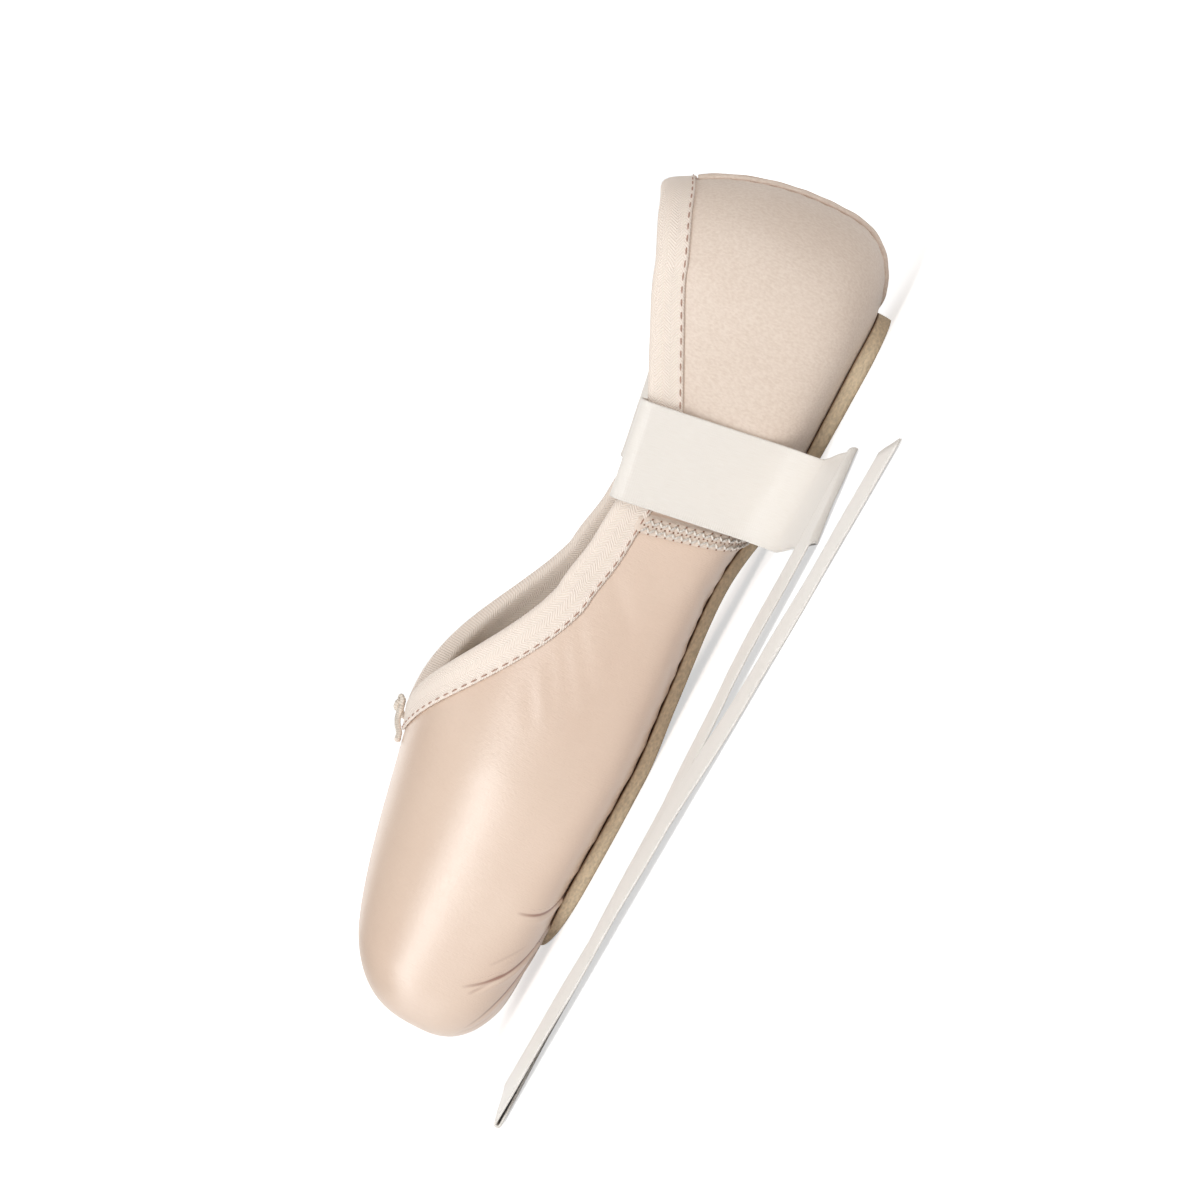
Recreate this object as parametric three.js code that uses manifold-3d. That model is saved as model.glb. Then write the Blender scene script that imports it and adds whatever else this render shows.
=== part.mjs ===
// Pointe shoe: a hollow satin upper on a straight last, a short leather outsole, a sock insole, a folded
// collar binding, raised side and back seams, a knotted drawstring and two ankle ribbons.
// Millimetres. +X points to the toe, +Y to the shoe's left, +Z up. The floor is z = 0.

import * as THREE from 'three';
import Module from 'manifold-3d';
import { mergeVertices } from 'three/addons/utils/BufferGeometryUtils.js';

// Driving dimensions
const LENGTH = 230;
const BALL_WIDTH = 79;
const INSTEP_HEIGHT = 59;
const SOLE_THICKNESS = 3;
const GAP = 0.3;

// The last is measured along its side: "reach" is the distance from the back of the heel, unrolled round
// the heel curve behind HEEL_SIDE and over the rounded edge of the platform past TOE_EDGE. That edge is a
// quarter of an ellipse, TOE_DEPTH along the shoe and TOE_INSET across it.
const HEEL_SIDE = 0.13 * LENGTH;
const HEEL_RADIUS = 0.126 * LENGTH;
const HEEL_BACK = HEEL_SIDE - HEEL_RADIUS * Math.PI / 2;
const TOE_DEPTH = 14;
const TOE_INSET = 9;
const TOE_ROUND = (TOE_DEPTH + TOE_INSET) / 2;
const PLATFORM_CROWN = 1;
const PLATFORM_SPAN = 20;
const TOE_EDGE = LENGTH - TOE_DEPTH - PLATFORM_CROWN;
const PLATFORM_EDGE = TOE_EDGE + TOE_ROUND * Math.PI / 2;
const PLATFORM_CENTRE = PLATFORM_EDGE + PLATFORM_SPAN;
const FEATHER_HEIGHT = SOLE_THICKNESS + GAP;

// Cross-sections of the last. at: share of the length; width: share of the ball width; crown and widest:
// shares of the instep height; lift: arch and toe shape, mm; powers: roundness of the upper and lower half.
const SECTIONS = table(
  ['at', 'width', 'crown', 'widest', 'lift', 'topPower', 'basePower', 'wall'],
  [-0.068, 0.760, 1.205, 0.390, 0.0, 2.00, 2.6, 1.6],
  [0.030, 0.742, 1.205, 0.388, 0.0, 2.00, 2.7, 1.6],
  [0.130, 0.709, 1.190, 0.375, 0.0, 2.10, 3.0, 1.6],
  [0.261, 0.709, 1.170, 0.360, 0.0, 2.20, 3.6, 1.6],
  [0.413, 0.747, 1.136, 0.405, 4.0, 2.20, 4.0, 1.7],
  [0.543, 0.861, 1.085, 0.375, 1.7, 2.20, 4.2, 2.0],
  [0.630, 0.957, 1.042, 0.350, 0.0, 2.20, 4.4, 2.5],
  [0.696, 1.000, 1.000, 0.350, 0.0, 2.25, 4.4, 2.8],
  [0.770, 0.962, 0.940, 0.345, 0.0, 2.30, 4.2, 3.0],
  [0.848, 0.880, 0.872, 0.340, -0.7, 2.40, 3.6, 3.0],
  [0.913, 0.805, 0.800, 0.345, -0.9, 2.50, 3.2, 3.0],
  [0.961, 0.756, 0.730, 0.355, -0.3, 2.60, 2.9, 3.0],
  [0.996, 0.720, 0.683, 0.358, 0.2, 2.60, 2.8, 3.0],
);

// Collar line, as the angle of each section at which the wall ends, from the crown down, in degrees
const COLLAR = table(
  ['at', 'angle'],
  [-0.068, 20],
  [0.030, 22.5],
  [0.130, 29.5],
  [0.196, 39],
  [0.261, 50],
  [0.313, 60],
  [0.413, 62],
  [0.478, 59],
  [0.490, 59],
);
const THROAT_START = 0.478 * LENGTH;
const THROAT = 0.696 * LENGTH;
const THROAT_ANGLE = 59;
const THROAT_BEND = 1.25;
const THROAT_POINT = 0.7;

// Outline of the outsole: half width as a share of the ball width
const SOLE_OUTLINE = table(
  ['at', 'half'],
  [0.078, 0.209],
  [0.196, 0.209],
  [0.304, 0.171],
  [0.413, 0.158],
  [0.522, 0.215],
  [0.630, 0.316],
  [0.709, 0.348],
  [0.770, 0.335],
  [0.870, 0.266],
);
const SOLE_HEEL = 0.078 * LENGTH;
const SOLE_TOE = 0.870 * LENGTH;
const SOLE_HEEL_CAP = 13;
const SOLE_TOE_CAP = 26;
const SOLE_BEVEL = 0.8;
const SOLE_SKIVE = 1.2;
const LASTING_MARGIN = 6;

const INSOLE_THICKNESS = 1.5;
const INSOLE_SHARE = 0.72;
const INSOLE_HEEL = 0.055 * LENGTH;
const INSOLE_TOE = 0.92 * LENGTH;
const INSOLE_HEEL_CAP = 18;
const INSOLE_TOE_CAP = 18;

// Folded tape of the binding. down: distance below the collar edge; off: distance outside the outer face of
// the wall, or, where inside is 1, inside the inner face.
const BINDING = table(
  ['down', 'off', 'inside'],
  [7.5, 0.3, 0],
  [7.5, 0.8, 0],
  [4.0, 1.1, 0],
  [0.5, 1.3, 0],
  [-1.4, 0.5, 0],
  [-1.4, 0.5, 1],
  [0.5, 1.3, 1],
  [4.0, 1.2, 1],
  [6.5, 1.0, 1],
  [6.5, 0.4, 1],
  [-0.3, 0.4, 1],
  [-0.3, 0.3, 0],
);
const BINDING_WIDTH = 7.5;

// Raised seams: half width, edge and crest height above the gap, and the slanted side seam's two ends
const SEAM = { half: 2.2, edge: 0.3, crest: 0.7, clear: 1.3, footClear: 1.6, sections: 12 };
const SIDE_SEAM = { top: 0.396 * LENGTH, foot: 0.339 * LENGTH };
const BACK_SEAM_HALF = 1.6;

// The frame's origin lies half way between the back seam's crest and the platform
const ORIGIN = (LENGTH - GAP - SEAM.crest) / 2;

// Drawstring: cord and knot radii, and the two ends that lie over the binding, with their splay in degrees
const CORD_RADIUS = 0.8;
const KNOT = { ring: 1.2, radius: 1.0, sides: 8, turns: 10 };
const CORD_ENDS = table(
  ['length', 'splay'],
  [11, 24],
  [8, -42],
);
const CORD_POINTS = 6;
const CORD_SIDES = 7;

// Ankle ribbons: a flat strip that is sewn inside the collar, hangs over it and lies on the floor.
// Each bend is at a distance along the strip, with its turn and slant in degrees.
const RIBBON = { width: 25, length: 500, thickness: 0.5, slant: -10, lean: 12, turn: 4.3 };
const RIBBON_START = { x: -46, y: 24.75, z: 22.4 };
const RIBBON_HANG = [
  { at: 6, turn: 12, radius: 20, slant: 10 },
  { at: 18.4, turn: 180, radius: 3.3, slant: 0 },
  { at: 59, turn: -90, radius: 10, slant: -10 },
];
const RIBBON_FLOOR = {
  left: [
    { at: 152, turn: -180, radius: 1.8, slant: 41 },
    { at: 200, turn: -6, radius: 60, slant: 0 },
    { at: 234, turn: 6, radius: 60, slant: 0 },
    { at: 312, turn: 180, radius: 1.8, slant: 9 },
    { at: 400, turn: 6, radius: 60, slant: 0 },
    { at: 434, turn: -6, radius: 60, slant: 0 },
  ],
  right: [
    { at: 128, turn: -180, radius: 1.8, slant: 42 },
    { at: 178, turn: -6, radius: 60, slant: 0 },
    { at: 212, turn: 6, radius: 60, slant: 0 },
    { at: 300, turn: 180, radius: 1.8, slant: 13 },
    { at: 378, turn: 6, radius: 60, slant: 0 },
    { at: 412, turn: -6, radius: 60, slant: 0 },
  ],
};
const RIBBON_CUT_SLANT = 30;

const FINISHES = {
  satin: { color: 0xe6cdbc, roughness: 0.4 },
  seam: { color: 0xe6cdbc, roughness: 0.5 },
  suede: { color: 0xb59b76, roughness: 0.9 },
  sock: { color: 0xe9dccb, roughness: 0.9 },
  tape: { color: 0xf1ddcf, roughness: 0.7 },
  cord: { color: 0xf3e6da, roughness: 0.7 },
  ribbon: { color: 0xf0e8e0, roughness: 0.4 },
};

// Tables and smooth curves

function table(names, ...rows) {
  return rows.map((row) => Object.fromEntries(names.map((name, i) => [name, row[i]])));
}

function slopeAt(rows, column, i) {
  if (i === 0) return 0;
  const before = (rows[i][column] - rows[i - 1][column]) / (rows[i].at - rows[i - 1].at);
  if (i === rows.length - 1) return before;
  const after = (rows[i + 1][column] - rows[i][column]) / (rows[i + 1].at - rows[i].at);
  return before * after > 0 ? 2 * before * after / (before + after) : 0;
}

// Value of a column at a share of the length, on a cubic that never overshoots the rows
function smooth(rows, column, at) {
  const last = rows.length - 1;
  if (at <= rows[0].at) return rows[0][column];
  if (at >= rows[last].at) return rows[last][column];
  const i = rows.findIndex((row) => row.at > at) - 1;
  const step = rows[i + 1].at - rows[i].at;
  const t = (at - rows[i].at) / step;
  const rise = rows[i + 1][column] - rows[i][column];
  const from = slopeAt(rows, column, i) * step;
  const to = slopeAt(rows, column, i + 1) * step;
  return rows[i][column] + from * t + (3 * rise - 2 * from - to) * t ** 2 + (from + to - 2 * rise) * t ** 3;
}

function steps(from, to, count) {
  return Array.from({ length: count }, (_, i) => from + (to - from) * i / count);
}

function easedSteps(from, to, count) {
  return Array.from({ length: count }, (_, i) => from + (to - from) * (1 - (1 - i / count) ** 2));
}

// The last

// Section of the last at a reach; behind the heel's middle line it is that of the other side
function section(reach) {
  const roll = THREE.MathUtils.clamp((reach - TOE_EDGE) / TOE_ROUND, 0, Math.PI / 2);
  const inset = TOE_INSET * (1 - Math.cos(roll));
  const past = TOE_DEPTH * Math.sin(roll);
  const at = (Math.min(HEEL_BACK + Math.abs(reach - HEEL_BACK), TOE_EDGE) + past) / LENGTH;
  const shrink = 1 - THREE.MathUtils.clamp((reach - PLATFORM_EDGE) / PLATFORM_SPAN, 0, 1);
  const widest = smooth(SECTIONS, 'widest', at) * INSTEP_HEIGHT;
  const crown = smooth(SECTIONS, 'crown', at) * INSTEP_HEIGHT - inset;
  const base = FEATHER_HEIGHT + smooth(SECTIONS, 'lift', at) + inset;
  return {
    half: (smooth(SECTIONS, 'width', at) * BALL_WIDTH / 2 - inset) * shrink,
    up: (crown - widest) * shrink,
    down: (widest - base) * shrink,
    widest,
    topPower: smooth(SECTIONS, 'topPower', at),
    basePower: smooth(SECTIONS, 'basePower', at),
    wall: smooth(SECTIONS, 'wall', at),
    heading: Math.PI / 2 + Math.max(HEEL_SIDE - reach, 0) / HEEL_RADIUS,
    x: THREE.MathUtils.clamp(reach, HEEL_SIDE, TOE_EDGE) + past
      + PLATFORM_CROWN * (1 - shrink ** 2) - ORIGIN,
  };
}

// Point of the last's surface: angle 0 is the crown, 90 degrees the widest line, 180 degrees underneath
function skin(reach, angle) {
  const cut = section(reach);
  if (cut.half === 0) return new THREE.Vector3(cut.x, 0, cut.widest);
  const sine = Math.sin(angle);
  const cosine = Math.cos(angle);
  const rise = cosine > 0 ? cut.up : cut.down;
  const power = cosine > 0 ? cut.topPower : cut.basePower;
  const radius = (Math.abs(sine / cut.half) ** power + Math.abs(cosine / rise) ** power) ** (-1 / power);
  const out = radius * sine;
  const x = cut.x + out * Math.cos(cut.heading);
  return new THREE.Vector3(x, out * Math.sin(cut.heading), cut.widest + radius * cosine);
}

const REACH_STEP = 0.05;
const ANGLE_STEP = 0.001;

function tangents(reach, angle) {
  const along = skin(reach + REACH_STEP, angle).sub(skin(reach - REACH_STEP, angle));
  const around = skin(reach, angle + ANGLE_STEP).sub(skin(reach, angle - ANGLE_STEP));
  return { along: along.divideScalar(2 * REACH_STEP), around: around.divideScalar(2 * ANGLE_STEP) };
}

function normalAt(reach, angle) {
  if (reach >= PLATFORM_EDGE) return new THREE.Vector3(1, 0, 0);
  const { along, around } = tangents(reach, angle);
  return along.cross(around).normalize();
}

// Point at a distance outside the surface, or inside it where the distance is negative
function offset(spot, distance) {
  return skin(spot.reach, spot.angle).addScaledVector(normalAt(spot.reach, spot.angle), distance);
}

// Spot reached by walking over the surface in a heading
const WALK_STEPS = 4;

function walk(spot, heading, distance) {
  let { reach, angle } = spot;
  for (let i = 0; i < WALK_STEPS; i += 1) {
    const { along, around } = tangents(reach, angle);
    const u = heading.dot(along) * distance / WALK_STEPS;
    const v = heading.dot(around) * distance / WALK_STEPS;
    const mixed = along.dot(around);
    const area = along.lengthSq() * around.lengthSq() - mixed ** 2;
    reach += (u * around.lengthSq() - v * mixed) / area;
    angle += (v * along.lengthSq() - u * mixed) / area;
  }
  return { reach, angle };
}

function collarAngle(reach) {
  if (reach >= THROAT) return 0;
  if (reach < THROAT_START) return THREE.MathUtils.degToRad(smooth(COLLAR, 'angle', reach / LENGTH));
  const share = (reach - THROAT_START) / (THROAT - THROAT_START);
  return THREE.MathUtils.degToRad(THROAT_ANGLE) * (1 - share ** THROAT_BEND) ** THROAT_POINT;
}

// Half width of the outsole's outline at a distance from the heel, drawn in by a margin all round
function soleHalf(distance, margin) {
  const heel = THREE.MathUtils.clamp((distance - SOLE_HEEL - margin) / SOLE_HEEL_CAP, 0, 1);
  const toe = THREE.MathUtils.clamp((SOLE_TOE - margin - distance) / SOLE_TOE_CAP, 0, 1);
  const half = smooth(SOLE_OUTLINE, 'half', distance / LENGTH) * BALL_WIDTH - margin;
  return half * Math.sqrt(1 - (1 - heel) ** 2) * Math.sqrt(1 - (1 - toe) ** 2);
}

// Angle at which a section passes a given half width underneath
function undersideAngle(reach, half) {
  return Math.PI - Math.atan2(half, section(reach).down);
}

// Angle of the edge of the opening underneath, which the outsole and insole close
function openingAngle(reach) {
  if (reach >= HEEL_SIDE) return undersideAngle(reach, soleHalf(reach, LASTING_MARGIN));
  const turn = (HEEL_SIDE - reach) / HEEL_RADIUS;
  const side = soleHalf(HEEL_SIDE, LASTING_MARGIN);
  const back = HEEL_SIDE - SOLE_HEEL - LASTING_MARGIN;
  const half = 1 / Math.hypot(Math.cos(turn) / side, Math.sin(turn) / back);
  return undersideAngle(reach, half);
}

// Height of the upper's underside over a place in plan
function underside(distance, y) {
  const behind = HEEL_SIDE - distance;
  const turned = behind > 0 ? HEEL_RADIUS * Math.atan2(behind, Math.abs(y)) : 0;
  const cut = section(behind > 0 ? HEEL_SIDE - turned : distance);
  const share = (behind > 0 ? Math.hypot(behind, y) : Math.abs(y)) / cut.half;
  return cut.widest - cut.down * (1 - share ** cut.basePower) ** (1 / cut.basePower);
}

// Solids from grids of points

function patch(grid) {
  const faces = [];
  for (let i = 0; i < grid.length - 1; i += 1) {
    for (let k = 0; k < grid[i].length - 1; k += 1) {
      faces.push([grid[i][k], grid[i + 1][k], grid[i + 1][k + 1], grid[i][k + 1]]);
    }
  }
  return faces;
}

function reversed(faces) {
  return faces.map(([a, b, c, d]) => [a, d, c, b]);
}

function mirrored(faces) {
  return reversed(faces.map((face) => face.map((p) => new THREE.Vector3(p.x, -p.y, p.z))));
}

// Edge wall between a line of the outer grid and the same line of the inner grid
function rim(outer, inner) {
  return outer.slice(1).map((point, i) => [outer[i], point, inner[i + 1], inner[i]]);
}

function column(grid, k) {
  return grid.map((row) => row.at(k));
}

function backward(line) {
  return [...line].reverse();
}

// Sheet of material between two grids, closed along its four edges
function slab(outer, inner) {
  return [
    ...patch(outer),
    ...reversed(patch(inner)),
    ...rim(backward(column(outer, 0)), backward(column(inner, 0))),
    ...rim(column(outer, -1), column(inner, -1)),
    ...rim(outer[0], inner[0]),
    ...rim(backward(outer.at(-1)), backward(inner.at(-1))),
  ];
}

const MERGE_DISTANCE = 1e-4;

function signedVolume(position, index) {
  const corner = (i) => new THREE.Vector3().fromBufferAttribute(position, i);
  let sum = 0;
  for (let i = 0; i < index.length; i += 3) {
    sum += corner(index[i]).dot(corner(index[i + 1]).cross(corner(index[i + 2])));
  }
  return sum / 6;
}

// Closed geometry with shared corners and its faces pointing out
function geometryOf(faces) {
  const corners = faces.flatMap(([a, b, c, d]) => [a, b, c, a, c, d]);
  const merged = mergeVertices(new THREE.BufferGeometry().setFromPoints(corners), MERGE_DISTANCE);
  const kept = [];
  for (let i = 0; i < merged.index.count; i += 3) {
    const [a, b, c] = [0, 1, 2].map((k) => merged.index.getX(i + k));
    if (a !== b && b !== c && c !== a) kept.push(a, b, c);
  }
  merged.setIndex(signedVolume(merged.attributes.position, kept) < 0 ? kept.reverse() : kept);
  merged.computeVertexNormals();
  return merged;
}

// Upper: one wall, open at the collar and underneath

const OPENING_TOE = SOLE_TOE - LASTING_MARGIN;
const STATIONS = [
  ...steps(HEEL_BACK, HEEL_SIDE, 9),
  ...steps(HEEL_SIDE, THROAT_START, 9),
  ...easedSteps(THROAT_START, THROAT, 12),
  ...easedSteps(THROAT, OPENING_TOE, 8),
  ...steps(OPENING_TOE, TOE_EDGE, 4),
  ...steps(TOE_EDGE, PLATFORM_EDGE, 4),
  ...steps(PLATFORM_EDGE, PLATFORM_CENTRE, 2),
  PLATFORM_CENTRE,
];
const COLUMNS = 15;
const LENGTH_SAMPLES = 80;

// Angles of a section between two angles, an even length of wall apart
function evenAngles(reach, from, to, count) {
  const angles = [...steps(from, to, LENGTH_SAMPLES), to];
  const lengths = [0];
  for (let i = 1; i < angles.length; i += 1) {
    lengths.push(lengths[i - 1] + skin(reach, angles[i]).distanceTo(skin(reach, angles[i - 1])));
  }
  const inside = Array.from({ length: count - 1 }, (_, k) => {
    const wanted = lengths.at(-1) * (k + 1) / count;
    const i = Math.max(1, lengths.findIndex((length) => length >= wanted));
    const span = lengths[i] - lengths[i - 1];
    const share = span > 0 ? (wanted - lengths[i - 1]) / span : 1;
    return angles[i - 1] + (angles[i] - angles[i - 1]) * share;
  });
  return [from, ...inside, to];
}

function upperFaces() {
  const spots = STATIONS.map((reach) => evenAngles(reach, collarAngle(reach), openingAngle(reach), COLUMNS)
    .map((angle) => ({ reach, angle })));
  const outer = spots.map((row) => row.map((spot) => offset(spot, 0)));
  const inner = spots.map((row) => row.map((spot) => offset(spot, -section(spot.reach).wall)));
  const behind = (limit) => STATIONS.filter((reach) => reach <= limit).length;
  const collarEdge = (grid) => backward(column(grid, 0).slice(0, behind(THROAT)));
  const soleEdge = (grid) => column(grid, -1).slice(0, behind(OPENING_TOE));
  const half = [
    ...patch(outer),
    ...reversed(patch(inner)),
    ...rim(collarEdge(outer), collarEdge(inner)),
    ...rim(soleEdge(outer), soleEdge(inner)),
  ];
  return [...half, ...mirrored(half)];
}

// Outsole and insole: plates that follow the underside of the upper

const ACROSS = [-1, -0.93, -0.6, -0.2, 0.2, 0.6, 0.93, 1];
const PLATE_STEPS = 34;

function plateFaces(from, to, halfAt, topAt, bottomAt) {
  const turns = [...steps(0, Math.PI, PLATE_STEPS), Math.PI];
  const distances = turns.map((turn) => from + (to - from) * (1 - Math.cos(turn)) / 2);
  const grid = (heightAt) => distances.map((distance) => ACROSS.map((share) => {
    const y = share * halfAt(distance);
    return new THREE.Vector3(distance - ORIGIN, y, heightAt(distance, y, share));
  }));
  return slab(grid(topAt), grid(bottomAt));
}

function outsoleBottom(distance, share) {
  const arch = Math.max(0, smooth(SECTIONS, 'lift', distance / LENGTH));
  const tip = THREE.MathUtils.clamp((SOLE_TOE - distance) / SOLE_TOE_CAP, 0, 1);
  const skive = SOLE_SKIVE * (1 - tip) ** 4;
  return Math.max(arch, skive) + (Math.abs(share) === 1 ? SOLE_BEVEL : 0);
}

function outsoleFaces() {
  return plateFaces(
    SOLE_HEEL,
    SOLE_TOE,
    (distance) => soleHalf(distance, 0),
    (distance, y) => underside(distance, y) - GAP,
    (distance, y, share) => outsoleBottom(distance, share),
  );
}

const SLOPE_STEP = 0.2;

// Height of the upper's inner floor over a place in plan, with the gap that the insole keeps to it
function innerFloor(distance, y) {
  const slope = (underside(distance, Math.abs(y) + SLOPE_STEP) - underside(distance, y)) / SLOPE_STEP;
  return underside(distance, y) + section(distance).wall * Math.hypot(1, slope) + GAP;
}

function insoleHalf(distance) {
  const heel = THREE.MathUtils.clamp((distance - INSOLE_HEEL) / INSOLE_HEEL_CAP, 0, 1);
  const toe = THREE.MathUtils.clamp((INSOLE_TOE - distance) / INSOLE_TOE_CAP, 0, 1);
  const cut = section(Math.max(distance, HEEL_SIDE));
  const half = cut.half * INSOLE_SHARE - cut.wall;
  return half * Math.sqrt(1 - (1 - heel) ** 2) * Math.sqrt(1 - (1 - toe) ** 2);
}

function insoleFaces() {
  return plateFaces(
    INSOLE_HEEL,
    INSOLE_TOE,
    insoleHalf,
    (distance, y) => innerFloor(distance, y) + INSOLE_THICKNESS,
    innerFloor,
  );
}

// Binding: the folded tape carried round the collar edge

const BINDING_STATIONS = STATIONS.filter((reach) => reach <= THROAT);

function bindingFaces() {
  const spots = BINDING_STATIONS.map((reach) => ({ reach, angle: collarAngle(reach) }));
  const points = spots.map((spot) => offset(spot, 0));
  const sideways = new THREE.Vector3(0, 1, 0);
  const rings = spots.map((spot, i) => {
    const end = i === 0 || i === spots.length - 1;
    const sense = i === 0 ? 1 : -1;
    const forward = end ? sideways.clone().multiplyScalar(sense) : points[i + 1].clone().sub(points[i - 1]);
    const away = normalAt(spot.reach, spot.angle).cross(forward).normalize();
    return BINDING.map((corner) => {
      const place = walk(spot, away, Math.max(corner.down, 0));
      const level = corner.inside ? -section(place.reach).wall - corner.off : corner.off;
      return offset(place, level).addScaledVector(away, Math.min(corner.down, 0));
    });
  });
  const closed = rings.map((ring) => [...ring, ring[0]]);
  const half = patch(closed);
  return [...half, ...mirrored(half)];
}

// Raised seams: bands that follow the surface along a line of spots

function seamFaces(spots, half) {
  const points = spots.map((spot) => offset(spot, 0));
  const bands = [[-1, SEAM.edge], [-0.5, SEAM.crest], [0.5, SEAM.crest], [1, SEAM.edge]];
  const grid = (heightOf) => spots.map((spot, i) => {
    const before = points[Math.max(i - 1, 0)];
    const after = points[Math.min(i + 1, spots.length - 1)];
    const across = after.clone().sub(before).cross(normalAt(spot.reach, spot.angle)).normalize();
    return bands.map(([share, height]) => offset(walk(spot, across, share * half), heightOf(height)));
  });
  return slab(grid((height) => GAP + height), grid(() => GAP));
}

// Angle a given length of wall below the collar edge
function angleBelowCollar(reach, length) {
  const spot = { reach, angle: collarAngle(reach) };
  const { around } = tangents(spot.reach, spot.angle);
  return walk(spot, around.normalize(), length).angle;
}

function seamSpots(topReach, footReach, footHalf) {
  const top = angleBelowCollar(topReach, BINDING_WIDTH + SEAM.clear);
  const foot = undersideAngle(footReach, footHalf + SEAM.footClear);
  return Array.from({ length: SEAM.sections + 1 }, (_, i) => {
    const share = i / SEAM.sections;
    const reach = topReach + (footReach - topReach) * share;
    const [from, to] = [collarAngle(reach) - collarAngle(topReach) + top, foot];
    return { reach, angle: from + (to - from) * share };
  });
}

function sideSeamFaces() {
  return seamFaces(seamSpots(SIDE_SEAM.top, SIDE_SEAM.foot, soleHalf(SIDE_SEAM.foot, 0)), SEAM.half);
}

function backSeamFaces() {
  return seamFaces(seamSpots(HEEL_BACK, HEEL_BACK, HEEL_SIDE - SOLE_HEEL), BACK_SEAM_HALF);
}

// Drawstring: a small knot at the throat with its two ends over the binding

const wasm = await Module();
wasm.setup();

function bodyOf(geometry) {
  const bare = geometry.clone();
  bare.deleteAttribute('normal');
  bare.deleteAttribute('uv');
  const merged = mergeVertices(bare, MERGE_DISTANCE);
  const vertProperties = merged.attributes.position.array;
  const triVerts = Uint32Array.from(merged.index.array);
  return new wasm.Manifold(new wasm.Mesh({ numProp: 3, vertProperties, triVerts }));
}

function geometryFromBody(body) {
  const mesh = body.getMesh();
  const geometry = new THREE.BufferGeometry();
  geometry.setAttribute('position', new THREE.BufferAttribute(mesh.vertProperties, 3));
  geometry.setIndex(new THREE.BufferAttribute(mesh.triVerts, 1));
  geometry.computeVertexNormals();
  return geometry;
}

function cordGeometry(points) {
  const section2d = new THREE.Shape().absarc(0, 0, CORD_RADIUS, 0, 2 * Math.PI);
  const extrudePath = new THREE.CatmullRomCurve3(points);
  return new THREE.ExtrudeGeometry(section2d, {
    steps: points.length,
    curveSegments: CORD_SIDES,
    bevelEnabled: false,
    extrudePath,
  });
}

function knotGeometry() {
  const throat = { reach: THROAT, angle: 0 };
  const crest = Math.max(...BINDING.map((corner) => corner.off)) + GAP;
  const centre = offset(throat, crest + KNOT.ring + KNOT.radius);
  const ring = new THREE.TorusGeometry(KNOT.ring, KNOT.radius, KNOT.sides, KNOT.turns).rotateY(Math.PI / 2);
  const ends = CORD_ENDS.map(({ length, splay }) => {
    const turn = THREE.MathUtils.degToRad(splay);
    const heading = new THREE.Vector3(Math.cos(turn), Math.sin(turn), 0);
    const points = Array.from({ length: CORD_POINTS }, (_, i) => {
      const distance = length * (i + 1) / CORD_POINTS;
      return offset(walk(throat, heading, distance), crest + CORD_RADIUS);
    });
    return cordGeometry([centre, ...points]);
  });
  const bodies = [...ends, ring.translate(...centre.toArray())].map(bodyOf);
  return geometryFromBody(bodies.reduce((sum, next) => sum.add(next)));
}

// Ribbons: a flat strip rolled round a series of bends

function rollRound(bend, flat, point) {
  const slant = THREE.MathUtils.degToRad(bend.slant);
  const [cosine, sine] = [Math.cos(slant), Math.sin(slant)];
  const side = Math.sign(bend.turn);
  const past = (flat.x - bend.at) * cosine - flat.y * sine;
  const roll = THREE.MathUtils.clamp(past / bend.radius, 0, THREE.MathUtils.degToRad(Math.abs(bend.turn)));
  const ahead = (point.x - bend.at) * cosine - point.y * sine - bend.radius * roll;
  const beside = (point.x - bend.at) * sine + point.y * cosine;
  const depth = side * point.z - bend.radius;
  const forward = ahead * Math.cos(roll) - depth * Math.sin(roll);
  const height = bend.radius + ahead * Math.sin(roll) + depth * Math.cos(roll);
  return new THREE.Vector3(
    bend.at + forward * cosine + beside * sine,
    beside * cosine - forward * sine,
    side * height,
  );
}

// Lines across the strip, parallel to each bend where it rolls
const ROLL_STEP = 30;

function ribbonLines(bends) {
  const lines = [{ at: 0, slant: 0 }];
  bends.forEach(({ at, turn, radius, slant }) => {
    const count = Math.max(2, Math.ceil(Math.abs(turn) / ROLL_STEP));
    const arc = radius * THREE.MathUtils.degToRad(Math.abs(turn));
    const span = arc / Math.cos(THREE.MathUtils.degToRad(slant));
    lines.push(...[...steps(at, at + span, count), at + span].map((place) => ({ at: place, slant })));
  });
  return [...lines, { at: RIBBON.length, slant: RIBBON_CUT_SLANT }];
}

function ribbonFrame() {
  const slant = THREE.MathUtils.degToRad(RIBBON.slant);
  const lean = THREE.MathUtils.degToRad(RIBBON.lean);
  const up = new THREE.Vector3(0, 0, 1);
  const toe = new THREE.Vector3(1, 0, 0).applyAxisAngle(up, THREE.MathUtils.degToRad(RIBBON.turn));
  const rise = up.clone().applyAxisAngle(toe, lean);
  const along = toe.clone().multiplyScalar(-Math.sin(slant)).addScaledVector(rise, Math.cos(slant));
  const across = toe.clone().multiplyScalar(Math.cos(slant)).addScaledVector(rise, Math.sin(slant));
  const frame = new THREE.Matrix4().makeBasis(along, across, along.clone().cross(across));
  return frame.setPosition(RIBBON_START.x, RIBBON_START.y, RIBBON_START.z);
}

function ribbonFaces(floorBends) {
  const bends = [...RIBBON_HANG, ...floorBends];
  const frame = ribbonFrame();
  const grid = (level) => ribbonLines(bends).map(({ at, slant }) => [-0.5, 0, 0.5].map((share) => {
    const v = share * RIBBON.width;
    const flat = new THREE.Vector3(at + v * Math.tan(THREE.MathUtils.degToRad(slant)), v, level);
    const rolled = bends.reduceRight((point, bend) => rollRound(bend, flat, point), flat);
    return rolled.applyMatrix4(frame);
  }));
  return slab(grid(RIBBON.thickness / 2), grid(-RIBBON.thickness / 2));
}

// The shoe

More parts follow.
